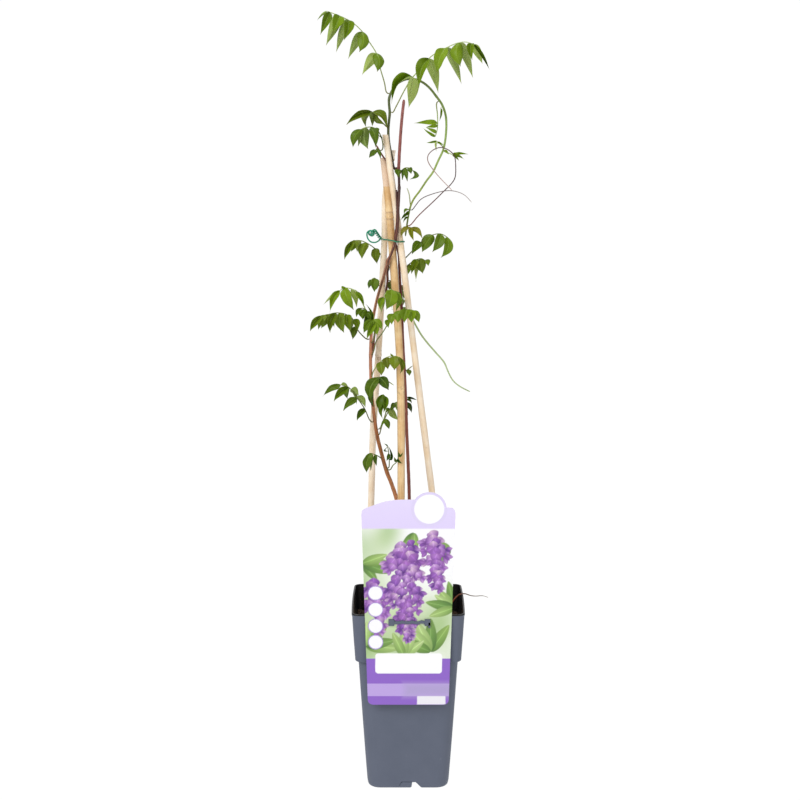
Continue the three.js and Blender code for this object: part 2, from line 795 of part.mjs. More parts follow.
    leaflets: [
      [0.92, -8, -5, -22, 10, -2],
      [0.95, 5, -7, -18, 12, 1],
      [0.99, -12, -6, -18, 12, -4],
      [1, 12, -3, -13, 10, 3],
    ],
  },
  {
    name: "leaf_across",
    on: "stem_main",
    rib: [
      [-50, -3, 603], [-47, -9, 610], [-44, -15, 623], [-36, -22, 635], [-29, -30, 647],
      [-22, -35, 660], [-10, -39, 669], [1, -41, 670], [7, -42, 669],
    ],
    leaflets: [
      [0.64, -2, -5, -11, 8, -2],
      [0.74, -4, -5, -14, 12, -3],
      [0.83, -4, -6, -16, 13, -2],
      [0.91, -3, -7, -17, 14, -1],
      [0.96, 1, -5, -17, 14, 1],
      [1, 7, -3, -16, 10, 1],
    ],
  },
  {
    name: "leaf_arc",
    on: "stem_main",
    rib: [
      [-50, -2, 572], [-48, -8, 581], [-42, -16, 591], [-34, -23, 600], [-26, -29, 605],
      [-18, -33, 606], [-12, -35, 605],
    ],
    leaflets: [
      [0.51, 1, -5, -18, 13, 1],
      [0.71, 1, -5, -16, 12, 0],
      [0.89, 0, -7, -18, 16, 1],
      [1, 0, -2, -23, 8, 5],
      [0.86, -4, -1, 4, 3, 0],
    ],
  },
  {
    name: "leaf_small_right",
    on: "stem_dark",
    rib: [[-3, -1, 581], [0, 2, 583], [6, 6, 587]],
    leaflets: [
      [0.32, 3, -3, -8, 7, 1],
    ],
  },
  {
    name: "leaf_folded",
    on: "stem_main",
    rib: [[-49, -4, 556], [-46, -10, 566], [-41, -17, 575], [-33, -20, 573], [-20, -24, 565]],
    leaflets: [
      [0.51, -10, -6, -33, 16, -5],
      [0.07, 0, -6, -25, 9, -2],
      [0.56, 12, -5, -17, 14, 2],
    ],
  },
  {
    name: "leaf_lower_left",
    on: "stem_main",
    rib: [
      [-49, -5, 510], [-53, -8, 514], [-59, -13, 529], [-66, -17, 541], [-72, -20, 549],
      [-81, -24, 562], [-92, -27, 566],
    ],
    leaflets: [
      [0.35, -10, -5, -16, 9, -3],
      [0.62, 13, 2, -15, 9, 3],
      [0.6, -18, -6, -17, 11, -4],
      [0.79, 11, 2, -9, 10, 1],
      [0.73, 5, 9, -19, 6, 1],
      [0.86, -19, -6, -19, 11, -4],
      [0.87, 0, 3, -17, 8, -2],
      [0.99, 11, 5, -8, 5, 2],
      [1, -24, -2, -16, 9, -4],
    ],
  },
  {
    name: "leaf_middle",
    on: "stem_main",
    rib: [
      [-40, -7, 493], [-37, -14, 504], [-33, -21, 518], [-30, -28, 533], [-32, -33, 548],
      [-34, -35, 554],
    ],
    leaflets: [
      [0.43, -6, -4, -11, 4, 0],
      [0.84, -2, -6, -25, 7, -7],
      [0.97, 0, -6, -22, 8, 1],
      [1, -5, -4, -23, 11, -4],
    ],
  },
  {
    name: "leaf_front_twig",
    on: "stem_main",
    rib: [[-39, -3, 501], [-33, 4, 512], [-27, 13, 523], [-20, 19, 532], [-16, 22, 534]],
    leaflets: [
      [0.38, 6, -5, -14, 8, 1],
      [0.72, 12, 3, -17, 10, -1],
      [0.71, -5, -4, -5, 5, -2],
      [0.93, -5, -5, -10, 7, -1],
      [1, 2, 3, -15, 6, 0],
    ],
  },
  {
    name: "leaf_behind_middle",
    on: "stem_dark",
    rib: [[-1, 3, 518], [-2, 8, 534], [-2, 12, 542]],
    leaflets: [
      [0.75, 7, -2, -15, 7, 1],
      [0.8, -3, 3, -19, 6, 0],
      [0.91, 7, -3, -6, 4, 2],
      [1, 15, -2, -4, 3, 1],
    ],
  },
  {
    name: "leaf_low_left",
    on: "stem_main",
    rib: [[-37, -12, 461], [-40, -15, 464], [-46, -20, 468], [-52, -25, 471]],
    leaflets: [
      [0.62, 3, -4, -16, 6, -2],
      [0.87, -2, 3, -24, 6, 1],
      [1, -4, -2, -28, 13, -4],
    ],
  },
  {
    name: "leaf_low_small",
    on: "stem_main",
    rib: [[-27, -15, 448], [-26, -20, 458], [-27, -26, 473], [-28, -29, 481]],
    leaflets: [
      [0.49, -1, -7, 19, 4, -4],
      [0.82, -1, -4, 6, 3, 5],
      [0.72, -3, -4, -10, 5, 0],
      [1, -6, -3, 5, 2, -1],
    ],
  },
  {
    name: "leaf_low_twig",
    on: "stem_main",
    rib: [[-25, -17, 446], [-21, -26, 454], [-15, -36, 462], [-13, -39, 470]],
    leaflets: [
      [0.79, -4, -4, 7, 4, 1],
      [0.97, -1, -4, 8, 4, -1],
      [0.99, 6, -3, 6, 3, -1],
      [0.92, 6, -4, -7, 4, -1],
    ],
  },
  {
    name: "leaf_young",
    on: "shoot_long",
    rib: [[38, 13, 943], [39, 11, 927], [39, 8, 909], [36, 6, 898]],
    leaflets: [
      [0.62, -31, -8, 0, 7, -1],
      [0.69, -16, -4, -2, 5, 0],
      [0.88, -14, -7, 7, 5, 0],
      [1, -17, -5, 12, 4, 1],
    ],
  },
  {
    name: "leaf_bud_blade",
    on: "shoot_long",
    rib: [[43, 10, 936]],
    leaflets: [
      [1, -1, -2, -17, 3, 0],
    ],
  },
  {
    name: "leaf_young_left",
    on: "shoot_long",
    rib: [[46, 4, 885], [42, 1, 889], [37, -2, 893]],
    leaflets: [
      [0.79, 8, -5, -5, 3, 2],
      [1, -13, -2, -3, 3, 0],
      [0.97, 0, 3, -14, 3, 0],
    ],
  },
  {
    name: "leaf_young_right",
    on: "shoot_long",
    rib: [[49, 5, 879], [53, 2, 877], [60, -2, 874]],
    leaflets: [
      [0.04, 6, -4, -5, 4, 1],
      [1, 20, -4, 1, 4, 1],
      [1, 15, -2, -6, 4, 1],
      [1, 8, -5, -8, 4, 1],
      [1, 8, -6, 2, 4, 1],
    ],
  },
  {
    name: "leaf_buds",
    on: "shoot_long",
    rib: [[1, -10, 803], [1, -11, 797], [0, -12, 792]],
    leaflets: [
      [0.33, -7, -3, -7, 4, -3],
      [0.52, -6, -2, -8, 4, -1],
      [0.7, -11, -3, -9, 4, -2],
      [1, -7, -3, -8, 3, -2],
    ],
  },
];

// Half widths along a leaflet, as shares of its length and of its greatest half width.
const LARGE_OUTLINE = [[0, 0.05], [0.15, 0.72], [0.4, 1], [0.76, 0.52], [1, 0.05]];
const LEAFLET_OUTLINE = [[0, 0.05], [0.2, 0.84], [0.6, 0.84], [1, 0.05]];
const SMALL_OUTLINE = [[0, 0.12], [0.4, 1], [1, 0.08]];
const SMALL_WIDTH = 9; // up to this width a leaflet has the simplest outline
const LARGE_WIDTH = 14; // from this width it has the fullest
const LEAFLET_BOW = 0.09; // how far its middle stands off the straight line from foot to tip, per length
const RIB_PULL = 0.6; // how far its width turns from the front view toward the direction of the rib

function outlineFor(width) {
  if (width <= SMALL_WIDTH) return SMALL_OUTLINE;
  return width < LARGE_WIDTH ? LEAFLET_OUTLINE : LARGE_OUTLINE;
}

/** One leaflet: a thin blade, arched outward from its foot to its tip and swept sideways by bend. */
function leaflet(foot, tip, width, bend, along) {
  const run = tip.clone().sub(foot);
  const length = run.length();
  const forward = run.clone().normalize();
  const sideways = new THREE.Vector3(0, -1, 0).cross(forward).normalize();
  const pull = along.clone().addScaledVector(forward, -along.dot(forward));
  const sense = pull.dot(sideways) < 0 ? -RIB_PULL : RIB_PULL;
  const across = sideways.clone().addScaledVector(pull, sense).normalize();
  const up = new THREE.Vector3().crossVectors(forward, across);
  if (up.y * (run.y > 0 ? 1 : -1) < 0) {
    across.negate();
    up.negate();
  }
  const half = up.clone().multiplyScalar(BLADE_THICKNESS / 2);
  const rings = outlineFor(width).map(([share, spread]) => {
    const bow = LEAFLET_BOW * length * Math.sin(Math.PI * share);
    const sweep = bend * Math.sin(Math.PI * share);
    const middle = foot.clone().addScaledVector(run, share);
    middle.addScaledVector(up, bow).addScaledVector(sideways, sweep);
    const side = across.clone().multiplyScalar((spread * width) / 2);
    return [
      middle.clone().sub(side).sub(half).toArray(),
      middle.clone().add(side).sub(half).toArray(),
      middle.clone().add(side).add(half).toArray(),
      middle.clone().sub(side).add(half).toArray(),
    ];
  });
  return loft(rings);
}

/** The middle of the straight-sided rod along a path, at a share of its length. */
function middleOf(path, step, share) {
  const rings = ringCount(path, step);
  const place = share * rings;
  const before = Math.min(Math.floor(place), rings - 1);
  return path.getPointAt(before / rings).lerp(path.getPointAt((before + 1) / rings), place - before);
}

function leaf({ on, rib, leaflets }) {
  const foot = footOn(on, vector(rib[0]), RIB_RADIUS);
  const stalk = { points: [foot.toArray(), ...rib], radii: [RIB_RADIUS, RIB_RADIUS * 0.8], sides: 3, step: 18 };
  const path = smoothPath(stalk.points);
  const parts = [rod(stalk)];
  for (const [share, x, y, z, width, bend] of leaflets) {
    const along = path.getTangentAt(share);
    const start = middleOf(path, stalk.step, share);
    const reach = new THREE.Vector3(x, y, z);
    const sunk = start.clone().addScaledVector(reach.clone().normalize(), -0.3);
    parts.push(leaflet(sunk, start.clone().add(reach), width, bend, along));
  }
  return joined(parts);
}

// ---- Soil ----
// Compost up to a little under the rim, with a plain hole for each cane and root.

function soil() {
  const rings = inside(CLEARANCE)
    .slice(0, 3)
    .map(potOutline);
  const [, , low, high] = inside(CLEARANCE);
  const share = (SOIL_LEVEL - low.z) / (high.z - low.z);
  const level = {
    z: SOIL_LEVEL,
    width: THREE.MathUtils.lerp(low.width, high.width, share),
    corner: low.corner,
    bow: (high.bow * share) / 3,
  };
  // The surface is a few rings that shrink to the middle and rise and fall a little.
  const shrink = [1, 0.78, 0.5, 0.2];
  for (const scale of shrink) {
    rings.push(
      potOutline(level).map(([x, y, z]) => {
        const unevenness = 2.2 * Math.sin(x / 9 + y / 17) + 1.6 * Math.cos(y / 7 - x / 23);
        return [x * scale, y * scale, z + (scale < 1 ? 3 * (1 - scale) + unevenness * scale : 0)];
      }),
    );
  }
  let body = solid(loft(rings));
  for (const each of Object.values(canes)) {
    body = body.subtract(solid(cane(each, CLEARANCE)));
  }
  for (const name of ["stem_main", "stem_dark"]) {
    for (const each of stems[name].rods) {
      body = body.subtract(solid(rod(each, CLEARANCE)));
    }
  }
  return body.subtract(solid(rod(rimRoot, CLEARANCE)));
}

// A thin brown root that lies out over the right rim.
const rimRoot = {
  points: [
    [44, 2, 206], [48, 4, 226], [55, 8, 240], [63.3, 14, 250], [67.5, 17, 254.4], [71.5, 18.5, 257.6],
    [77, 19, 259.3], [82.3, 19.5, 258.8], [88, 20, 256.4], [96, 21, 255.2], [106, 23, 255.2], [114, 24, 252.2],
  ],
  radii: [1.3, 1.2, 0.9, 0.5],
  sides: 6,
  step: 7,
};

// ---- Label ----
// A printed plastic card with arched shoulders and a round badge at its top, on the strap through two slots.

const LABEL_TOP = 418;
const LABEL_SHOULDER = 403;
const LABEL_BOTTOM = 130.3;
const LABEL_TOP_WIDTH = 127;
const LABEL_BOTTOM_WIDTH = 110.5;
const BADGE = { x: 28, z: 405, radius: 23.5 };

function label() {
  const shape = new THREE.Shape();
  const foot = LABEL_BOTTOM_WIDTH / 2;
  const shoulder = LABEL_TOP_WIDTH / 2;
  const corner = 7;
  shape.moveTo(-foot + corner, LABEL_BOTTOM);
  shape.lineTo(foot - corner, LABEL_BOTTOM);
  shape.quadraticCurveTo(foot, LABEL_BOTTOM, foot + 0.3, LABEL_BOTTOM + corner);
  shape.lineTo(shoulder, LABEL_SHOULDER - 4);
  shape.quadraticCurveTo(shoulder, LABEL_SHOULDER + 2, shoulder - 5, LABEL_SHOULDER + 4);
  shape.absarc(BADGE.x, BADGE.z, BADGE.radius, 0.2, Math.PI * 0.8, false);
  shape.lineTo(BADGE.x - BADGE.radius * 1.05, LABEL_TOP);
  shape.lineTo(-10, LABEL_TOP);
  shape.quadraticCurveTo(-40, LABEL_TOP, -shoulder + 5, LABEL_SHOULDER + 3);
  shape.quadraticCurveTo(-shoulder, LABEL_SHOULDER + 1, -shoulder, LABEL_SHOULDER - 5);
  shape.lineTo(-foot - 0.3, LABEL_BOTTOM + corner);
  shape.quadraticCurveTo(-foot, LABEL_BOTTOM, -foot + corner, LABEL_BOTTOM);
  const plate = new THREE.ExtrudeGeometry(shape, { depth: LABEL_THICKNESS, bevelEnabled: false, curveSegments: 8 });
  plate.rotateX(Math.PI / 2).translate(0, LABEL_BACK, 0);
  const slots = [STRAP_LEFT, STRAP_RIGHT - STRAP_LUG_WIDTH].map((left) =>
    block(
      [left - CLEARANCE, LABEL_BACK - 2, STRAP_HEIGHT - 5 - CLEARANCE],
      [left + STRAP_LUG_WIDTH + CLEARANCE, LABEL_BACK + 1, STRAP_HEIGHT + 4 + CLEARANCE],
    ),
  );
  return solid(plate).subtract(joined(slots));
}

// ---- Tie ----
// One plastic-coated wire: a band round canes and stems, a twisted knot at the left, and its two loose ends.

/** The wire's path round the bundle: the outline that touches every round rod from outside. */
function bandPoints() {
  const rounds = [];
  for (const each of Object.values(canes)) {
    const centre = pointAtHeight(smoothPath(each.points), TIE_HEIGHT);
    rounds.push({ centre, radius: caneRadius(each, TIE_HEIGHT) });
  }
  for (const name of ["stem_main", "stem_dark"]) {
    const { points, radii } = stems[name].rods[0];
    rounds.push({ centre: pointAtHeight(smoothPath(points), TIE_HEIGHT), radius: Math.max(...radii.slice(4)) });
  }
  const points = [];
  const steps = 30;
  for (let step = 0; step <= steps; step++) {
    const angle = Math.PI * 1.02 + 2 * Math.PI * 0.985 * (step / steps);
    const normal = new THREE.Vector3(Math.cos(angle), Math.sin(angle), 0);
    let best = { reach: -Infinity };
    for (const { centre, radius } of rounds) {
      const reach = centre.dot(normal) + radius;
      if (reach > best.reach) best = { reach, centre, radius };
    }
    const point = best.centre.clone().addScaledVector(normal, best.radius + 3 * CLEARANCE + WIRE_RADIUS);
    point.z = TIE_HEIGHT;
    points.push(point.toArray());
  }
  return points;
}

function tie() {
  const wire = (points, step) => rod({ points, radii: [WIRE_RADIUS, WIRE_RADIUS], sides: 5, step });
  const band = bandPoints();
  const knot = { foot: band[0], head: [-46, 8, 773] };
  const strands = [0, Math.PI].map((phase) => {
    const points = [];
    const steps = 12;
    for (let step = 0; step <= steps; step++) {
      const share = step / steps;
      const angle = phase + share * Math.PI * 4;
      const middle = knot.foot.map((value, axis) => THREE.MathUtils.lerp(value, knot.head[axis], share));
      const [x, y, z] = middle;
      points.push([x + 1.1 * Math.cos(angle), y + 1.1 * Math.sin(angle), z + 0.6 * Math.sin(angle)]);
    }
    return wire(points, 3);
  });
  const looseEnd = [
    knot.foot, [-40, 3, 759], [-45, -3, 757], [-51, -4, 758], [-55, -4, 763], [-56, -3, 769], [-53, -1, 773],
    [-50, 1, 771], [-50, 1, 766], [-47, 0, 764], [-45, -1, 769],
  ];
  const bandWire = wire(band, 5);
  const collar = new THREE.IcosahedronGeometry(2.1, 0).translate(...knot.foot);
  return joined([bandWire, collar, ...strands, wire(looseEnd, 4)]);
}

// ---- The plant ----

add("pot", pot(), potPlastic);
add("soil", soil(), compost);
add("label", label(), card);
for (const [name, each] of Object.entries(canes)) {
  add(name, cane(each), each.material);
}
for (const [name, each] of Object.entries(stems)) {
  add(name, stem(each), each.material);
}
add("root_over_rim", rod(rimRoot), orangeBark);
add("tie", tie(), greenWire);
for (const each of leaves) {
  add(each.name, leaf(each), leafGreen);
}

export default plant;
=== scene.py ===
"""Wisteria in a pot: a young twining climber, tied to three bamboo canes in a square nursery pot,
with a hanging label that carries a plain flower print and no words.

Sizes are in millimetres and are turned into metres where a mesh is made. +Z is up, +X to the right
and +Y to the back. The origin is the middle of the foot that the pot stands on.
"""
import json
import math
import random

import bmesh
import bpy
import numpy as np
from mathutils import Matrix, Vector

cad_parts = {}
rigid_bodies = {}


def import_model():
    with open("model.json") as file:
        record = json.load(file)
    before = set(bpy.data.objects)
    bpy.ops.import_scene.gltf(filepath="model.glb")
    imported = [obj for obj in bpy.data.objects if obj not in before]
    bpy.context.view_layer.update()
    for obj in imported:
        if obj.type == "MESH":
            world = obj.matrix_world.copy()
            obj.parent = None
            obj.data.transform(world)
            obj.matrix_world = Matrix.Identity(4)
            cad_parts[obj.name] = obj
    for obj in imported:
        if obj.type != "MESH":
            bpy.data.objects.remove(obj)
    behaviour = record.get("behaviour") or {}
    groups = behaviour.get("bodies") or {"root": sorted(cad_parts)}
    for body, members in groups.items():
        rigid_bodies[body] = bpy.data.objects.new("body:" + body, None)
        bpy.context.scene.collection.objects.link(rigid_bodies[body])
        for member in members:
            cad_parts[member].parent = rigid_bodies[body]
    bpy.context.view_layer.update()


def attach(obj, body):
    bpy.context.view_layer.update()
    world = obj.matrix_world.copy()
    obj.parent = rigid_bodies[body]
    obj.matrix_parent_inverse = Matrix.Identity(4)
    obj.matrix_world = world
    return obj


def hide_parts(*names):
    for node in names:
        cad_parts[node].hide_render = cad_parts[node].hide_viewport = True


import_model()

# ---- Studio ----
# The plant stands on a pale seamless sweep of paper, between large soft lamps, and is seen from a
# little over two metres away and a little above its middle.

MM = 0.001  # metres in a millimetre
CAMERA_PLACE = (-11.3, -2262, 923)
CAMERA_PITCH = 9.6  # degrees below the horizon
CAMERA_LENS = 75.06
CAMERA_SENSOR = 36  # its width
CAMERA_REACH = 30  # metres, past the wall of the sweep
SWEEP_HALF_WIDTH = 4000
SWEEP_FRONT = -4000
SWEEP_BACK = 3000
SWEEP_BEND = 900  # radius of the bend from floor to wall
SWEEP_HEIGHT = 4000
LAMPS = {
    # name: (place, size, watts), each aimed at the middle of the plant
    "key": ((-1500, -1900, 2100), 1600, 45),
    "fill": ((1900, -1700, 1300), 1600, 12.6),
    "top": ((0, 200, 2900), 1500, 23.6),
}
PLANT_MIDDLE = (0, 0, 560)
ROOM_LIGHT = 0.3


def linear(colour):
    """A hex colour as seen on a screen, turned into the linear numbers that a shader takes."""
    parts = [int(colour[i : i + 2], 16) / 255 for i in (1, 3, 5)]
    return (*[p / 12.92 if p <= 0.04045 else ((p + 0.055) / 1.055) ** 2.4 for p in parts], 1)


def add_node(tree, kind, inputs=(), output=0, **settings):
    """Adds one node and gives one of its outputs. Inputs, by name or in order, are values or outputs."""
    made = tree.nodes.new(kind)
    for key, value in settings.items():
        setattr(made, key, value)
    pairs = inputs.items() if isinstance(inputs, dict) else enumerate(inputs)
    for key, value in pairs:
        if isinstance(key, str):
            key = next(i for i, s in enumerate(made.inputs) if s.name == key and s.enabled)
        if isinstance(value, bpy.types.NodeSocket):
            tree.links.new(value, made.inputs[key])
        elif value is not None:
            made.inputs[key].default_value = value
    return made.outputs[output] if made.outputs else made


def maths(tree, operation, *values, clamp=False):
    """One sum, named by its operation, on numbers or outputs."""
    return add_node(tree, "ShaderNodeMath", values, operation=operation, use_clamp=clamp)


def ramp(tree, value, start, end, top=1.0, bottom=0.0):
    """A number that runs from bottom to top while the value runs from start to end, and stops there."""
    limits = {"Value": value, "From Min": start, "From Max": end, "To Min": bottom, "To Max": top}
    return add_node(tree, "ShaderNodeMapRange", limits)


def mix(tree, share, *colours):
    """A blend from the first colour to the second by a share. A colour is a hex text or an output."""
    first, second = (linear(c) if isinstance(c, str) else c for c in colours)
    return add_node(tree, "ShaderNodeMix", {0: share, 6: first, 7: second}, 2, data_type="RGBA")


def noise(tree, place, size, detail, roughness=None):
    """Soft noise with blotches about so many millimetres wide."""
    inputs = {"Vector": place, "Scale": 1 / (size * MM), "Detail": detail, "Roughness": roughness}
    return add_node(tree, "ShaderNodeTexNoise", inputs)


def stored(tree, name, output="Fac"):
    """What is painted on the mesh under a name, for a material."""
    return add_node(tree, "ShaderNodeAttribute", output=output, attribute_name=name)


def named(tree, name, kind="FLOAT"):
    """What is painted on the mesh under a name, for a tree that builds a mesh."""
    return add_node(tree, "GeometryNodeInputNamedAttribute", {"Name": name}, data_type=kind)


def new_material(name, **sockets):
    """A material with one Principled shader, and plain values on its sockets."""
    material = bpy.data.materials.new(name)
    material.use_nodes = True
    shader = material.node_tree.nodes["Principled BSDF"]
    for socket, value in sockets.items():
        shader.inputs[socket.replace("_", " ")].default_value = value
    return material, material.node_tree, shader


def raised(tree, shader, height, depth, strength=None, invert=False):
    """Gives a shader a relief so many millimetres deep."""
    inputs = {"Height": height, "Distance": depth * MM, "Strength": strength}
    relief = add_node(tree, "ShaderNodeBump", inputs, invert=invert)
    tree.links.new(relief, shader.inputs["Normal"])


def new_piece(name, vertices, faces, *materials):
    """An object at the origin whose mesh has these points, in millimetres."""
    mesh = bpy.data.meshes.new(name)
    mesh.from_pydata([[c * MM for c in v] for v in vertices], [], faces)
    for material in materials:
        mesh.materials.append(material)
    piece = bpy.data.objects.new(name, mesh)
    bpy.context.scene.collection.objects.link(piece)
    return piece


# Glowing white paper: lit from behind, so that it is evenly white and runs out of sight behind the plant.
paper, _, _ = new_material("white backdrop lit from behind", Base_Color=linear("#1a1a1a"), Roughness=1.0,
                           Emission_Strength=1.0)
bend = [math.radians(a) for a in range(0, 91, 10)]
profile = [(SWEEP_FRONT, 0)]
profile += [(SWEEP_BACK + SWEEP_BEND * math.sin(a), SWEEP_BEND * (1 - math.cos(a))) for a in bend]
profile += [(SWEEP_BACK + SWEEP_BEND, SWEEP_HEIGHT)]
sweep = new_piece(
    "paper_sweep",
    [(side * SWEEP_HALF_WIDTH, y, z) for y, z in profile for side in (-1, 1)],
    [(2 * i, 2 * i + 1, 2 * i + 3, 2 * i + 2) for i in range(len(profile) - 1)],
    paper,
)
sweep.data.shade_smooth()

for name, (place, size, watts) in LAMPS.items():
    lamp = bpy.data.objects.new(name, bpy.data.lights.new(name, "AREA"))
    lamp.data.shape = "DISK"
    lamp.data.size = size * MM
    lamp.data.energy = watts
    lamp.location = Vector(place) * MM
    aim = Vector(PLANT_MIDDLE) - Vector(place)
    lamp.rotation_euler = aim.to_track_quat("-Z", "Y").to_euler()
    bpy.context.scene.collection.objects.link(lamp)

world = bpy.data.worlds.new("soft white room")
world.use_nodes = True
world.node_tree.nodes["Background"].inputs["Color"].default_value = linear("#ffffff")
world.node_tree.nodes["Background"].inputs["Strength"].default_value = ROOM_LIGHT
bpy.context.scene.world = world
bpy.context.scene.view_settings.view_transform = "Standard"

camera = bpy.data.objects.new("camera", bpy.data.cameras.new("camera"))
camera.data.lens = CAMERA_LENS
camera.data.sensor_width = CAMERA_SENSOR
camera.data.clip_end = CAMERA_REACH
camera.location = Vector(CAMERA_PLACE) * MM
camera.rotation_euler = (math.radians(90 - CAMERA_PITCH), 0, 0)
bpy.context.scene.collection.objects.link(camera)
bpy.context.scene.camera = camera

# ---- Pot ----
# A square nursery pot, injection-moulded in one piece of polypropylene: a foot ring with a
# notch in each side, a raised floor, a tapered body, and a collar that steps out over it under a
# rolled lip. The outside is blue-grey and the inside black.

POT_HEIGHT = 257.5
RIM_WIDTH = 154
BASE_WIDTH = 107
BODY_TOP_WIDTH = 137  # just under the collar
COLLAR_WIDTH = 145.8  # just over its lower edge
COLLAR_BOTTOM = 188.5
POT_WALL = 1.6
FLOOR_UNDERSIDE = 10
FLOOR_TOP = 12
BLACK_FROM = 255.6  # the outside is black from here up over the lip, as the inside is
SIDE_BOW = 1.5  # the compost pushes each side wall out by this much at the rim
CORNER_STEPS = 10
SIDE_STEPS = 6


def pot_outline(z, width, corner, bow=0.0):
    """The pot's square outline with round corners at one height, its side walls bowed out by bow."""
    half = width / 2
    arcs = [math.pi / 2 * i / CORNER_STEPS for i in range(CORNER_STEPS + 1)]
    quarter = [(half - corner + corner * math.cos(a), half - corner + corner * math.sin(a)) for a in arcs]
    quarter += [((half - corner) * (1 - 2 * i / SIDE_STEPS), half) for i in range(1, SIDE_STEPS)]
    outline = []
    for cos, sin in ((1, 0), (0, 1), (-1, 0), (0, -1)):
        for x, y in quarter:
            across, back = x * cos - y * sin, x * sin + y * cos
            outline.append((across * (1 + bow / half * (1 - (back / half) ** 2)), back, z))
    return outline


def lofted(rings):
    """The points and faces of a closed body through rings of points, with a flat face at each end."""
    count = len(rings[0])
    points = [p for ring in rings for p in ring]
    faces = [tuple(reversed(range(count)))]
    for start in range(0, len(points) - count, count):
        for i in range(count):
            j = (i + 1) % count
            faces.append((start + i, start + j, start + count + j, start + count + i))
    faces.append(tuple(range(len(points) - count, len(points))))
    return points, faces


def block(low, high):
    """A box between two corners, with its edges slightly rounded by one narrow bevel."""
    shape = bmesh.new()
    bmesh.ops.create_cube(shape, size=1)
    for vertex in shape.verts:
        vertex.co = [l + (h - l) * (c + 0.5) for l, h, c in zip(low, high, vertex.co)]
    bmesh.ops.bevel(shape, geom=shape.edges[:], offset=0.35, segments=2, affect="EDGES")
    points = [tuple(v.co) for v in shape.verts]
    faces = [tuple(v.index for v in f.verts) for f in shape.faces]
    shape.free()
    return points, faces


def evaluated(piece):
    """Bakes the piece's live modifiers into its mesh, and takes them off."""
    graph = bpy.context.evaluated_depsgraph_get()
    finished = piece.evaluated_get(graph)
    made = bpy.data.meshes.new_from_object(finished, preserve_all_data_layers=True, depsgraph=graph)
    made.name = piece.name
    piece.modifiers.clear()
    piece.data = made
    return piece


def bow_at(z):
    """The side walls' bow at a height: none below the collar, all of it at the rim."""
    return SIDE_BOW * max(0, (z - COLLAR_BOTTOM) / (POT_HEIGHT - COLLAR_BOTTOM))


outer_skin = [
    # height, width, corner radius, from the recess under the floor round to the lip
    (FLOOR_UNDERSIDE, BASE_WIDTH - 1, 14),
    (1.2, BASE_WIDTH - 5, 13),
    (0.3, BASE_WIDTH - 4.4, 13),
    (0, BASE_WIDTH - 3.4, 13.5),
    (0, BASE_WIDTH - 0.4, 15),
    (0.4, BASE_WIDTH + 1.4, 15.8),
    (1.6, BASE_WIDTH + 4, 17),
    (4, BASE_WIDTH + 5.8, 18.4),
    (8, BASE_WIDTH + 7.2, 19),
    (40, BASE_WIDTH + 11.7, 18.2),
    (90, BASE_WIDTH + 18.2, 16.8),
    (140, BASE_WIDTH + 24.4, 15.4),
    (186.2, BODY_TOP_WIDTH - 0.1, 14),
    (187, BODY_TOP_WIDTH + 0.2, 14),
    (187.5, BODY_TOP_WIDTH + 1.4, 13.6),
    (187.8, BODY_TOP_WIDTH + 4, 13),
    (188, COLLAR_WIDTH - 2, 12.6),
    (188.4, COLLAR_WIDTH - 0.8, 12.2),
    (189.2, COLLAR_WIDTH - 0.1, 12),
    (190.6, COLLAR_WIDTH, 12),
    (222, COLLAR_WIDTH + 3.7, 11.2),
    (252.6, COLLAR_WIDTH + 6.9, 10.2),
    (253.4, COLLAR_WIDTH + 7.1, 10),
    (253.9, COLLAR_WIDTH + 7.6, 10),
    (254.5, RIM_WIDTH - 0.1, 10),
    (BLACK_FROM, RIM_WIDTH, 10),
    (256.6, RIM_WIDTH - 0.2, 10),
    (257.3, RIM_WIDTH - 0.9, 9.8),
    (POT_HEIGHT, RIM_WIDTH - 2, 9.5),
    (POT_HEIGHT, RIM_WIDTH - 3.6, 9),
    (257.1, RIM_WIDTH - 4.6, 8.8),
]
inner_skin = [
    (254, RIM_WIDTH - 5.2, 8.8),
    (COLLAR_BOTTOM + 3, COLLAR_WIDTH - 2 * POT_WALL, 10),
    (COLLAR_BOTTOM, BODY_TOP_WIDTH - 2 * POT_WALL, 12),
    (FLOOR_TOP + 3, BASE_WIDTH + 5 - 2 * POT_WALL, 16),
    (FLOOR_TOP, BASE_WIDTH + 1 - 2 * POT_WALL, 15),
]
pot_rings = [pot_outline(z, width, corner, bow_at(z)) for z, width, corner in outer_skin + inner_skin]

# Polypropylene with pigment in it: a soft even sheen over a very fine moulded grain, faintly
# mottled, with a few pale scuffs from the bench.
moulded, tree, shader = new_material("moulded grey polypropylene", Roughness=0.55, IOR=1.33)
place = add_node(tree, "ShaderNodeTexCoord", output="Object")
mottle = noise(tree, place, 30, 4)
grain = noise(tree, place, 0.8, 2)
stretched = add_node(tree, "ShaderNodeMapping", {"Vector": place, "Scale": (1, 1, 0.25)})
scuff = noise(tree, stretched, 9, 6, 0.7)
scuffed = ramp(tree, scuff, 0.66, 0.76, 0.35)
even = mix(tree, mottle, "#596070", "#646a7a")
coloured = mix(tree, scuffed, even, "#8d92a2")
tree.links.new(coloured, shader.inputs["Base Color"])
sheen = ramp(tree, mottle, 0, 1, 0.64, 0.48)
tree.links.new(sheen, shader.inputs["Roughness"])
raised(tree, shader, grain, 0.04, 0.6)

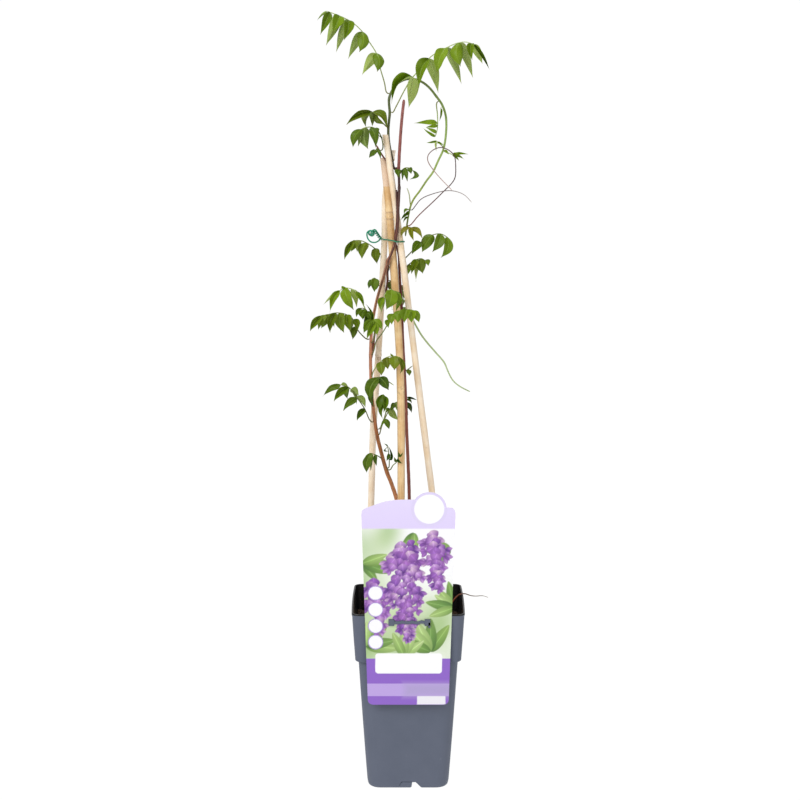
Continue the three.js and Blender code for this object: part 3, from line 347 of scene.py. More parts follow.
# The black inner layer of the same plastic, dusted and streaked with dried compost near the top.
black_layer, tree, shader = new_material("black inner polypropylene", Roughness=0.4, IOR=1.49)
place = add_node(tree, "ShaderNodeTexCoord", output="Object")
crumb = add_node(tree, "ShaderNodeTexVoronoi", {"Vector": place, "Scale": 1 / (5 * MM)}, "Distance")
speck = ramp(tree, crumb, 0.2, 0.12)
patchy = noise(tree, place, 14, 3)
here = ramp(tree, patchy, 0.52, 0.62)
amount = maths(tree, "MULTIPLY", speck, here)
dusty = mix(tree, amount, "#0c0c0e", "#5b4231")
tree.links.new(dusty, shader.inputs["Base Color"])
raised(tree, shader, patchy, 0.2, 0.4)

pot = new_piece("pot_moulding", *lofted(pot_rings), moulded, black_layer)
first_black = [ring[0] for ring in outer_skin].index(BLACK_FROM)
for face in pot.data.polygons:
    face.use_smooth = True
    if face.index > first_black * len(pot_rings[0]):
        face.material_index = 1

# In each side of the foot is a lopsided notch, with a shallow groove moulded beside and over it. Their
# outlines run across and up, and are cut through or into the wall. Four holes drain the floor.
NOTCH = [
    (21, -1), (18.4, 1), (11.3, 8.8), (10.4, 9.5), (6.1, 9.5), (5.5, 8.7), (4.9, 2.4), (3.2, 0.6), (2, -1),
]
GROOVE = [(-13, 1.5), (-9, 9.4), (5, 9.4), (5, 10.1), (-9.5, 10.1), (-13.8, 1.5)]
FOOT_FRONT = -BASE_WIDTH / 2
CUT_FROM = FOOT_FRONT - 8  # in front of the wall
NOTCH_BACK = FOOT_FRONT + 7  # behind it
GROOVE_BACK = FOOT_FRONT - 2.2  # in it, as the wall leans out here
DRAIN_RADIUS = 4.5
DRAIN_OFFSET = 30
DRAIN_SIDES = 20
FOOT_PAD_RADIUS = 12


def upright(radius, heights, sides, x=0.0):
    """The rings of an upright round bar, one for each height."""
    angles = [math.tau * i / sides for i in range(sides)]
    return [[(x + radius * math.cos(a), radius * math.sin(a), z) for a in angles] for z in heights]


cuts = [lofted([[(x, y, z) for x, z in NOTCH] for y in (NOTCH_BACK, CUT_FROM)])]
cuts.append(lofted([[(x, y, z) for x, z in GROOVE] for y in (GROOVE_BACK, CUT_FROM)]))
cuts.append(lofted(upright(DRAIN_RADIUS, (5, 14), DRAIN_SIDES, DRAIN_OFFSET)))
cutters = []
for quarter in range(4):
    for cut in cuts:
        cutters.append(new_piece("cutter", *cut))
        cutters[-1].data.transform(Matrix.Rotation(quarter * math.pi / 2, 4, "Z"))
for cut in cutters:
    boolean = pot.modifiers.new(cut.name, "BOOLEAN")
    boolean.object = cut
    boolean.solver = "EXACT"
evaluated(pot)
for cut in cutters:
    bpy.data.objects.remove(cut)

# Under the floor stand a round pad and crossed ribs. On the front of the collar a wavy strap with a lug
# at each end holds the label.
STRAP_LEFT = -27
STRAP_RIGHT = 30
STRAP_HEIGHT = 248
STRAP_FRONT = -81
STRAP_BACK = -78.7
LUG_BACK = -75.4  # inside the wall
LUG_WIDTH = 8
LUG_BOTTOM = STRAP_HEIGHT - 5
LUG_TOP = STRAP_HEIGHT + 4
STRAP_STEPS = 48
STRAP_WAVES = 4
PAD_SIDES = 32


def turned(body, degrees):
    """A body's points turned about the pot's upright axis."""
    turn = Matrix.Rotation(math.radians(degrees), 4, "Z")
    return [tuple(turn @ Vector(p)) for p in body[0]], body[1]


round_pad = upright(FOOT_PAD_RADIUS - 1, (0,), PAD_SIDES) + upright(FOOT_PAD_RADIUS, (0.8, 11), PAD_SIDES)
rib = block((-BASE_WIDTH / 2 + 3, -1, 3), (BASE_WIDTH / 2 - 3, 1, 11))
strap = []
for step in range(STRAP_STEPS + 1):
    share = step / STRAP_STEPS
    x = STRAP_LEFT + 2 + (STRAP_RIGHT - STRAP_LEFT - 4) * share
    wave = math.sin(share * math.tau * STRAP_WAVES)
    low = STRAP_HEIGHT - 2.4 + 0.5 * wave
    high = STRAP_HEIGHT + 1.4 + 0.9 * max(0, wave) ** 3 + 0.3 * wave
    section = [(STRAP_FRONT + 0.8, low), (STRAP_BACK, low), (STRAP_BACK, high), (STRAP_FRONT + 0.8, high)]
    section += [(STRAP_FRONT + 0.3, high - 0.6), (STRAP_FRONT + 0.3, low + 0.6)]
    strap.append([(x, y, z) for y, z in section])
fittings = [
    lofted(round_pad),
    turned(rib, 45),
    turned(rib, -45),
    lofted(strap),
    block((STRAP_LEFT, STRAP_FRONT, LUG_BOTTOM), (STRAP_LEFT + LUG_WIDTH, LUG_BACK, LUG_TOP)),
    block((STRAP_RIGHT - LUG_WIDTH, STRAP_FRONT, LUG_BOTTOM), (STRAP_RIGHT, LUG_BACK, LUG_TOP)),
    block((STRAP_RIGHT - 3, STRAP_FRONT, LUG_BOTTOM - 3), (STRAP_RIGHT, STRAP_BACK, STRAP_HEIGHT)),
]
shape = bmesh.new()
shape.from_mesh(pot.data)
for points, faces in fittings:
    made = [shape.verts.new(Vector(p) * MM) for p in points]
    for face in faces:
        shape.faces.new([made[i] for i in face])
shape.to_mesh(pot.data)
shape.free()
pot.data.set_sharp_from_angle(angle=math.radians(35))
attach(pot, "root")
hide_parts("pot")

# ---- Compost ----
# Dark peaty compost fills the pot to about 40 mm under the rim, and canes and stems stand in it. Its
# loose top is strewn with crumbs.

SOIL_LEVEL = 218
SOIL_GAP = 0.3  # between the compost and the wall
SOIL_RINGS = 16
CRUMBS_PER_SQUARE_METRE = 90000
CRUMB_SIZES = (0.7, 2.6)  # smallest and largest radius
CRUMB_MARGIN = 3.5  # between the crumbs' middles and the wall


def soil_height(x, y):
    """The rise and fall of the compost's top."""
    rough = 1.1 * math.sin(x / 3.1 + 1.7 * math.sin(y / 4.3)) * math.cos(y / 2.7)
    return 2.2 * math.sin(x / 9 + y / 17) + 1.6 * math.cos(y / 7 - x / 23) + rough


soil_wall = 2 * (POT_WALL + SOIL_GAP)
soil_rings = [
    pot_outline(FLOOR_TOP + SOIL_GAP, BASE_WIDTH + 1 - soil_wall, 15),
    pot_outline(COLLAR_BOTTOM, BODY_TOP_WIDTH - soil_wall, 12),
    pot_outline(COLLAR_BOTTOM + 3, COLLAR_WIDTH - soil_wall, 10),
]
level_width = COLLAR_WIDTH + (SOIL_LEVEL - COLLAR_BOTTOM) * 0.1 - soil_wall
level = pot_outline(SOIL_LEVEL, level_width, 10, bow_at(SOIL_LEVEL) / 3)
for step in range(SOIL_RINGS):
    scale = 1 - step / SOIL_RINGS
    soil_rings.append([
        (x * scale, y * scale, z + 3 * (1 - scale) + soil_height(x * scale, y * scale)) for x, y, z in level
    ])

# Damp peat and bark: near black, with lighter brown crumbs, and no gloss.
compost, tree, shader = new_material("damp peat compost", Roughness=0.95)
place = add_node(tree, "ShaderNodeTexCoord", output="Object")
cells = add_node(tree, "ShaderNodeTexVoronoi", {"Vector": place, "Scale": 1 / (3 * MM)}, "Color")
cell = add_node(tree, "ShaderNodeSeparateColor", [cells])
fine = noise(tree, place, 0.8, 4)
browns = mix(tree, cell, "#1c1511", "#4a3526")
coloured = mix(tree, fine, browns, "#6f5640")
darker = mix(tree, 0.55, coloured, browns)
tree.links.new(darker, shader.inputs["Base Color"])
raised(tree, shader, fine, 0.5)

SOCKETS = {
    "number": "NodeSocketFloat",
    "count": "NodeSocketInt",
    "material": "NodeSocketMaterial",
    "collection": "NodeSocketCollection",
    "mesh": "NodeSocketGeometry",
}


def new_tree(name, **inputs):
    """A node tree that turns a mesh and these named inputs into a mesh. Returns it and its inputs."""
    tree = bpy.data.node_groups.new(name, "GeometryNodeTree")
    for label, kind in {"Geometry": "mesh", **inputs}.items():
        tree.interface.new_socket(label.replace("_", " "), in_out="INPUT", socket_type=SOCKETS[kind])
    tree.interface.new_socket("Geometry", in_out="OUTPUT", socket_type=SOCKETS["mesh"])
    return tree, tree.nodes.new("NodeGroupInput").outputs


def grown(piece, tree, **inputs):
    """Runs a node tree on a piece with these inputs, and leaves the plain mesh that it makes."""
    modifier = piece.modifiers.new(tree.name, "NODES")
    modifier.node_group = tree
    for item in tree.interface.items_tree:
        label = item.name.replace(" ", "_")
        if item.in_out == "INPUT" and label in inputs:
            modifier[item.identifier] = inputs[label]
    return evaluated(piece)


# Crumbs lie on faces that look up, and within a square, so that none pokes through the pot's wall.
strewn, given = new_tree("crumbs strewn on the compost", Density="number", Smallest="number",
                         Largest="number", Reach="number", Seed="count", Crumb="material")
facing = add_node(strewn, "ShaderNodeSeparateXYZ", [add_node(strewn, "GeometryNodeInputNormal")], "Z")
is_top = maths(strewn, "GREATER_THAN", facing, 0.5)
place = add_node(strewn, "ShaderNodeVectorMath", [add_node(strewn, "GeometryNodeInputPosition")],
                 operation="ABSOLUTE")
split = add_node(strewn, "ShaderNodeSeparateXYZ", [place]).node
farther = maths(strewn, "MAXIMUM", split.outputs["X"], split.outputs["Y"])
is_inside = maths(strewn, "LESS_THAN", farther, given["Reach"])
is_top = maths(strewn, "MULTIPLY", is_top, is_inside)
spots = add_node(strewn, "GeometryNodeDistributePointsOnFaces",
                 {"Mesh": given["Geometry"], "Selection": is_top, "Density": given["Density"],
                  "Seed": given["Seed"]})
ball = add_node(strewn, "GeometryNodeMeshIcoSphere", {"Radius": 1.0, "Subdivisions": 1})
lumpy = add_node(strewn, "ShaderNodeTexNoise", {"Scale": 1.3}, "Color")
centred = add_node(strewn, "ShaderNodeVectorMath", [lumpy, (0.5, 0.5, 0.5)], operation="SUBTRACT")
crumb = add_node(strewn, "GeometryNodeSetPosition", {"Geometry": ball, "Offset": centred})
size = add_node(strewn, "FunctionNodeRandomValue",
                {"Min": given["Smallest"], "Max": given["Largest"], "Seed": given["Seed"]}, "Value")
shape_ratio = add_node(strewn, "FunctionNodeRandomValue",
                       {"Min": (0.5, 0.4, 0.3), "Max": (1.5, 1, 0.8), "Seed": 4}, data_type="FLOAT_VECTOR")
scale = add_node(strewn, "ShaderNodeVectorMath", {0: shape_ratio, "Scale": size}, operation="SCALE")
turn = add_node(strewn, "FunctionNodeRandomValue", {"Min": (0, 0, 0), "Max": (6.3, 6.3, 6.3), "Seed": 7},
                data_type="FLOAT_VECTOR")
rotation = add_node(strewn, "FunctionNodeEulerToRotation", [turn])
laid = add_node(strewn, "GeometryNodeInstanceOnPoints",
                {"Points": spots, "Instance": crumb, "Rotation": rotation, "Scale": scale})
whole = add_node(strewn, "GeometryNodeJoinGeometry", [laid])
strewn.links.new(given["Geometry"], whole.node.inputs[0])
real = add_node(strewn, "GeometryNodeRealizeInstances", [whole])
skinned = add_node(strewn, "GeometryNodeSetMaterial", {"Geometry": real, "Material": given["Crumb"]})
add_node(strewn, "NodeGroupOutput", [skinned])

soil = new_piece("compost", *lofted(soil_rings), compost)
smallest, largest = CRUMB_SIZES
grown(soil, strewn, Density=CRUMBS_PER_SQUARE_METRE, Smallest=smallest * MM, Largest=largest * MM,
      Reach=(level_width / 2 - CRUMB_MARGIN) * MM, Seed=3, Crumb=compost)
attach(soil, "root")
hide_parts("soil")

# ---- Canes ----
# Three bamboo canes stand in the compost, lean together and cross just under their tops. Each is a
# hollow culm, sawn off square, with a ridge and a groove at every joint. Two are pale and one is
# yellower and thicker, and keeps a dull pinkish sheath at its top.

CANE_WALL = 1.9
CANE_BORE_DEPTH = 14
CANE_SIDES = 28
CANE_STEP = 4
JOINT_RIDGE = 0.55  # how far it stands out
JOINT_GROOVE = 0.35  # how deep it is
GROOVE_DROP = 2.8  # from the ridge down to the groove
NO_SHEATH = 2000  # a sheath that starts above the plant
SHEATH_COLOUR = "#e6c9ad"
# Each cane's marks are brown patches: their heights, how strong they are and how far they spread.
# Sides is how far painted shade darkens each cane's left and right flanks.
canes = {
    "cane_right": {
        "path": [
            (50, 14, 30), (54, 17, 120), (57.5, 19, 185), (55, 20, 235), (32.3, 8, 417), (15, 0, 553),
            (-7.6, -8.6, 733), (-20.9, -8.2, 831), (-25.9, -10.7, 866), (-31, -11.5, 901),
        ],
        "radii": (5, 4.2),
        "joints": [],
        "marks": [(478, 0.25, 15)],
        "pale": "#fbecd6",
        "deep": "#f0d4ae",
        "sides": 0.25,
    },
    "cane_middle": {
        "path": [
            (-9, -44, 25), (-9, -51, 130), (-9, -50, 235), (-9.7, -33, 408), (-9.9, -20.3, 531),
            (-12.6, -11.4, 618), (-17.6, -3.7, 691), (-22, 0, 752), (-28.7, 1, 831), (-33, 1, 870),
        ],
        "radii": (5.1, 5.2),
        "joints": [791, 800],
        "marks": [(556, 0.45, 9)],
        "sheath": 832,
        "pale": "#f3d3a0",
        "deep": "#d3a66c",
        "sides": 0.55,
    },
    "cane_left": {
        "path": [
            (-49.5, 27.6, 30), (-54.8, 30.5, 120), (-56.3, 31.5, 185), (-56.5, 30, 235), (-51.3, 25, 407),
            (-48.4, 22, 499), (-42, 18.7, 588), (-35.3, 14.7, 702), (-32.1, 13.3, 765), (-31, 12.4, 820),
            (-20.9, 11.5, 880),
        ],
        "radii": (5, 4.2),
        "joints": [600],
        "marks": [(597, 0.6, 12)],
        "pale": "#fff0da",
        "deep": "#f0d8b8",
        "sides": 0.15,
    },
}


def smooth_path(points, step):
    """Points about a step apart on the smooth curve through some points, and how far along each one is."""
    knots = [np.array(p, float) for p in points]
    knots = [2 * knots[0] - knots[1], *knots, 2 * knots[-1] - knots[-2]]
    fine = []
    for p0, p1, p2, p3 in zip(knots, knots[1:], knots[2:], knots[3:]):
        gaps = [max(np.linalg.norm(b - a) ** 0.5, 1e-4) for a, b in ((p0, p1), (p1, p2), (p2, p3))]
        leave = (p1 - p0) / gaps[0] - (p2 - p0) / (gaps[0] + gaps[1]) + (p2 - p1) / gaps[1]
        reach = (p2 - p1) / gaps[1] - (p3 - p1) / (gaps[1] + gaps[2]) + (p3 - p2) / gaps[2]
        leave, reach = leave * gaps[1], reach * gaps[1]
        for t in np.arange(0, 1, 0.02):
            fine.append(
                (2 * t**3 - 3 * t**2 + 1) * p1 + (t**3 - 2 * t**2 + t) * leave
                + (3 * t**2 - 2 * t**3) * p2 + (t**3 - t**2) * reach
            )
    fine = np.array([*fine, knots[-2]])
    run = np.concatenate([[0], np.cumsum(np.linalg.norm(np.diff(fine, axis=0), axis=1))])
    count = max(2, round(run[-1] / step)) + 1
    places = np.linspace(0, run[-1], count)
    return np.stack([np.interp(places, run, fine[:, axis]) for axis in range(3)], 1), places


def paint(piece, name, values, kind="FLOAT", domain="POINT"):
    """Stores a number, a vector or a colour under a name on each point or face of a piece's mesh."""
    layer = piece.data.attributes.new(name, kind, domain)
    field = {"FLOAT_VECTOR": "vector", "FLOAT_COLOR": "color"}.get(kind, "value")
    layer.data.foreach_set(field, np.array(values).ravel())


def hump(distance, width):
    """1 where a distance is nothing, falling softly to almost 0 two widths away."""
    return math.exp(-((distance / width) ** 2))


def joint_profile(height, joints):
    """How far the culm stands out at a height: a ridge at each joint and a narrow groove just under it."""
    ridge = sum(JOINT_RIDGE * hump(height - joint, 1.8) for joint in joints)
    groove = sum(JOINT_GROOVE * hump(height - joint + GROOVE_DROP, 0.7) for joint in joints)
    return ridge - groove


def culm(name, path, radii, joints, marks, pale, deep, sides, sheath=NO_SHEATH):
    """One hollow cane, with its grain, and how close it is to a joint or a brown mark, on every point."""
    line, _ = smooth_path(path, CANE_STEP)
    steps = (-4.2, -3.6, -3.2, -2.8, -2.4, -2, -1, 0, 1, 2)  # rings stand close together at a joint
    heights = sorted([*line[:, 2], *[joint + step for joint in joints for step in steps]])
    centres = [(*(np.interp(z, line[:, 2], line[:, axis]) for axis in (0, 1)), z) for z in heights]
    rings, grain, sawn = [], [], []

    def add_ring(centre, ring_radius, is_sawn=0.0):
        angles = [math.tau * i / CANE_SIDES for i in range(CANE_SIDES)]
        x, y, z = centre
        rings.append([(x + ring_radius * math.cos(a), y + ring_radius * math.sin(a), z) for a in angles])
        grain.extend((radii[0] * math.cos(a), radii[0] * math.sin(a), z) for a in angles)
        sawn.extend([is_sawn] * CANE_SIDES)

    for centre in centres:
        uneven = 0.12 * math.sin(centre[2] / 37) + 0.08 * math.sin(centre[2] / 11)
        radius = float(np.interp(centre[2], (heights[0], heights[-1]), radii))
        add_ring(centre, radius + uneven + joint_profile(centre[2], joints))
    top = centres[-1]
    add_ring(top, radius - 0.15, 1.0)
    add_ring(top, radius - CANE_WALL, 1.0)
    add_ring((top[0], top[1], top[2] - CANE_BORE_DEPTH), radius - CANE_WALL, 1.0)

    # Dry bamboo: a hard satin skin, pale straw with long fine streaks, browner at each joint, and a few
    # grey-brown marks, with painted shade down its flanks. A sheath, where one is left, is paler, pinker
    # and frayed at its edge.
    skin, tree, shader = new_material("dry bamboo, " + name.replace("cane_", ""), Roughness=0.42, IOR=1.5)
    along = stored(tree, "grain", "Vector")
    drawn = add_node(tree, "ShaderNodeMapping", {"Vector": along, "Scale": (1, 1, 0.03)})
    streak = noise(tree, drawn, 1.2, 5)
    patch = noise(tree, along, 26, 4, 0.6)
    both = maths(tree, "MULTIPLY_ADD", streak, 0.55, patch)
    spread = ramp(tree, both, 0.62, 0.95)
    straw = mix(tree, spread, pale, deep)
    split = add_node(tree, "ShaderNodeSeparateXYZ", [along]).node.outputs
    # Painted shade: toward its left and right flanks, as seen from the front, each cane is darkened toward
    # olive brown by its sides value, standing in for the shade on its round flanks.
    off_middle = maths(tree, "ABSOLUTE", split["X"])
    off_middle = maths(tree, "MULTIPLY_ADD", streak, 0.9 * MM, off_middle)
    side_shade_share = ramp(tree, off_middle, radii[0] * 0.8 * MM, radii[0] * 1.1 * MM, sides)
    straw = mix(tree, side_shade_share, straw, "#8f7040")
    frayed = maths(tree, "MULTIPLY_ADD", streak, 6 * MM, split["Z"])
    under = ramp(tree, frayed, (sheath + 2.5) * MM, (sheath + 3.5) * MM)
    straw = mix(tree, under, straw, SHEATH_COLOUR)
    near = stored(tree, "joint")
    browned = mix(tree, near, straw, "#b08f70")
    spot = noise(tree, along, 7, 5, 0.7)
    mark = stored(tree, "mark")
    spot = maths(tree, "MULTIPLY_ADD", mark, 0.5, spot)
    dark_mark_share = ramp(tree, spot, 0.68, 0.85, 0.7)
    marked = mix(tree, dark_mark_share, browned, "#85684a")
    end = stored(tree, "sawn")
    coloured = mix(tree, end, marked, "#c9a878")
    tree.links.new(coloured, shader.inputs["Base Color"])
    raised(tree, shader, streak, 0.12, 0.5)

    piece = new_piece(name + "_culm", *lofted(rings), skin)
    piece.data.shade_smooth()
    piece.data.set_sharp_from_angle(angle=math.radians(50))
    paint(piece, "grain", np.array(grain) * MM, "FLOAT_VECTOR")
    paint(piece, "sawn", sawn)
    places = [v.co.z / MM for v in piece.data.vertices]
    joint_shares = [sum(0.6 * hump(z - joint + GROOVE_DROP, 1.1) for joint in joints) for z in places]
    paint(piece, "joint", [min(1, share) for share in joint_shares])
    mark_shares = [sum(strength * hump(z - at, reach) for at, strength, reach in marks) for z in places]
    paint(piece, "mark", mark_shares)
    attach(piece, "root")
    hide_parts(name)


for name, each in canes.items():
    culm(name, **each)

# ---- Woody stems and shoots ----
# The stems are living wood and soft new growth: round rods that taper, swell into knots where strands
# meet or old shoots were, and lean on and twine round the canes. Each is one or more rods grown together.

ROD_STEP = 3.0  # between the rings of a rod
END_REACH = 1.2  # a rod's ends are rounded over this length
BARK_ROUGHNESS = 0.35  # how far ripe bark stands in and out
GROWTH_ROUGHNESS = 0.1  # and new growth
TWIN_FROM = 650  # from this height up the main stem is two strands side by side, with painted shade in the crease between them
TWIN_TO = 856  # and from here up it is one again, without the painted shade

# One rod for each line of the mesh, as thick as the girth stored on its points. Its bark coordinates
# run round and along it, so that grain follows the rod.
rods, given = new_tree("rods along their paths", Step="number", Sides="count", Unevenness="number",
                       Seed="count", Skin="material")
line = add_node(rods, "GeometryNodeMeshToCurve", {"Mesh": given["Geometry"]})
line = add_node(rods, "GeometryNodeResampleCurve", {"Curve": line, "Length": given["Step"]}, mode="LENGTH")
along = add_node(rods, "GeometryNodeSplineParameter", output="Length")
line = add_node(rods, "GeometryNodeStoreNamedAttribute",
                {"Geometry": line, "Name": "along", "Value": along})
girth = named(rods, "girth")
ring = add_node(rods, "GeometryNodeCurvePrimitiveCircle", {"Resolution": given["Sides"], "Radius": 1.0},
                mode="RADIUS")
ring = add_node(rods, "GeometryNodeStoreNamedAttribute",
                {"Geometry": ring, "Name": "round", "Value": add_node(rods, "GeometryNodeInputPosition")},
                data_type="FLOAT_VECTOR")
tube = add_node(rods, "GeometryNodeCurveToMesh",
                {"Curve": line, "Profile Curve": ring, "Scale": girth, "Fill Caps": True})
around = named(rods, "round", "FLOAT_VECTOR")
around = add_node(rods, "ShaderNodeVectorMath", {0: around, "Scale": girth}, operation="SCALE")
length = named(rods, "along")
length = add_node(rods, "ShaderNodeCombineXYZ", {"Z": length})
grain = add_node(rods, "ShaderNodeVectorMath", [around, length], operation="ADD")
tube = add_node(rods, "GeometryNodeStoreNamedAttribute",
                {"Geometry": tube, "Name": "grain", "Value": grain}, data_type="FLOAT_VECTOR")
lump = {"Vector": grain, "W": given["Seed"], "Scale": 1 / (5 * MM), "Detail": 3}
lump = add_node(rods, "ShaderNodeTexNoise", lump, noise_dimensions="4D")
swell = maths(rods, "ADD", lump, -0.5)
swell = maths(rods, "MULTIPLY", swell, given["Unevenness"])
outward = add_node(rods, "ShaderNodeVectorMath",
                   {0: add_node(rods, "GeometryNodeInputNormal"), "Scale": swell}, operation="SCALE")
tube = add_node(rods, "GeometryNodeSetPosition", {"Geometry": tube, "Offset": outward})
real = add_node(rods, "GeometryNodeRealizeInstances", [tube])
skinned = add_node(rods, "GeometryNodeSetMaterial", {"Geometry": real, "Material": given["Skin"]})
add_node(rods, "NodeGroupOutput", [skinned])


def bark(name, roughness, streak, speck, crease_shade_heights=None):
    """Bark whose own colour is stored along the rod, with darker long streaks and pale breathing pores.

    Between the two heights given to it, painted shade runs in a dark line along its front and back, for the
    crease between two strands.
    """
    material, tree, shader = new_material(name, Roughness=roughness, IOR=1.45)
    along = stored(tree, "grain", "Vector")
    tint = stored(tree, "tint", "Color")
    drawn = add_node(tree, "ShaderNodeMapping", {"Vector": along, "Scale": (1, 1, 0.12)})
    lines = noise(tree, drawn, 1.3, 4)
    dark = ramp(tree, lines, 0.5, 0.7, streak)
    shaded = mix(tree, dark, tint, "#2c120c")
    if crease_shade_heights:
        # Painted shade: where the bark faces front or back it is darkened, standing in for the shade in the
        # crease between two strands.
        aside = stored(tree, "aside")
        aside = maths(tree, "ABSOLUTE", aside)
        groove = ramp(tree, aside, 0.4, 0.15, 0.85)
        place = add_node(tree, "ShaderNodeTexCoord", output="Object")
        height = add_node(tree, "ShaderNodeSeparateXYZ", [place], 2)
        above = ramp(tree, height, (crease_shade_heights[0] - 20) * MM, (crease_shade_heights[0] + 20) * MM)
        below = ramp(tree, height, (crease_shade_heights[1] + 4) * MM, (crease_shade_heights[1] - 4) * MM)
        depth = maths(tree, "MULTIPLY", groove, above)
        depth = maths(tree, "MULTIPLY", depth, below)
        shaded = mix(tree, depth, shaded, "#2a1512")
    pore = add_node(tree, "ShaderNodeTexVoronoi", {"Vector": drawn, "Scale": 1 / (2.6 * MM)}, "Distance")
    pale = ramp(tree, pore, 0.2, 0.1, speck)
    coloured = mix(tree, pale, shaded, "#d9b08a")
    tree.links.new(coloured, shader.inputs["Base Color"])
    raised(tree, shader, lines, 0.25, 0.7)
    return material


# Ripe bark is dull and streaked, and new growth is smooth, waxy and nearly without marks.
ripe_bark = bark("ripe woody bark", 0.5, 0.45, 0.5)
twin_bark = bark("ripe bark of two strands", 0.5, 0.7, 0.4, crease_shade_heights=(TWIN_FROM, TWIN_TO))
new_growth = bark("soft new growth", 0.45, 0.15, 0.12)

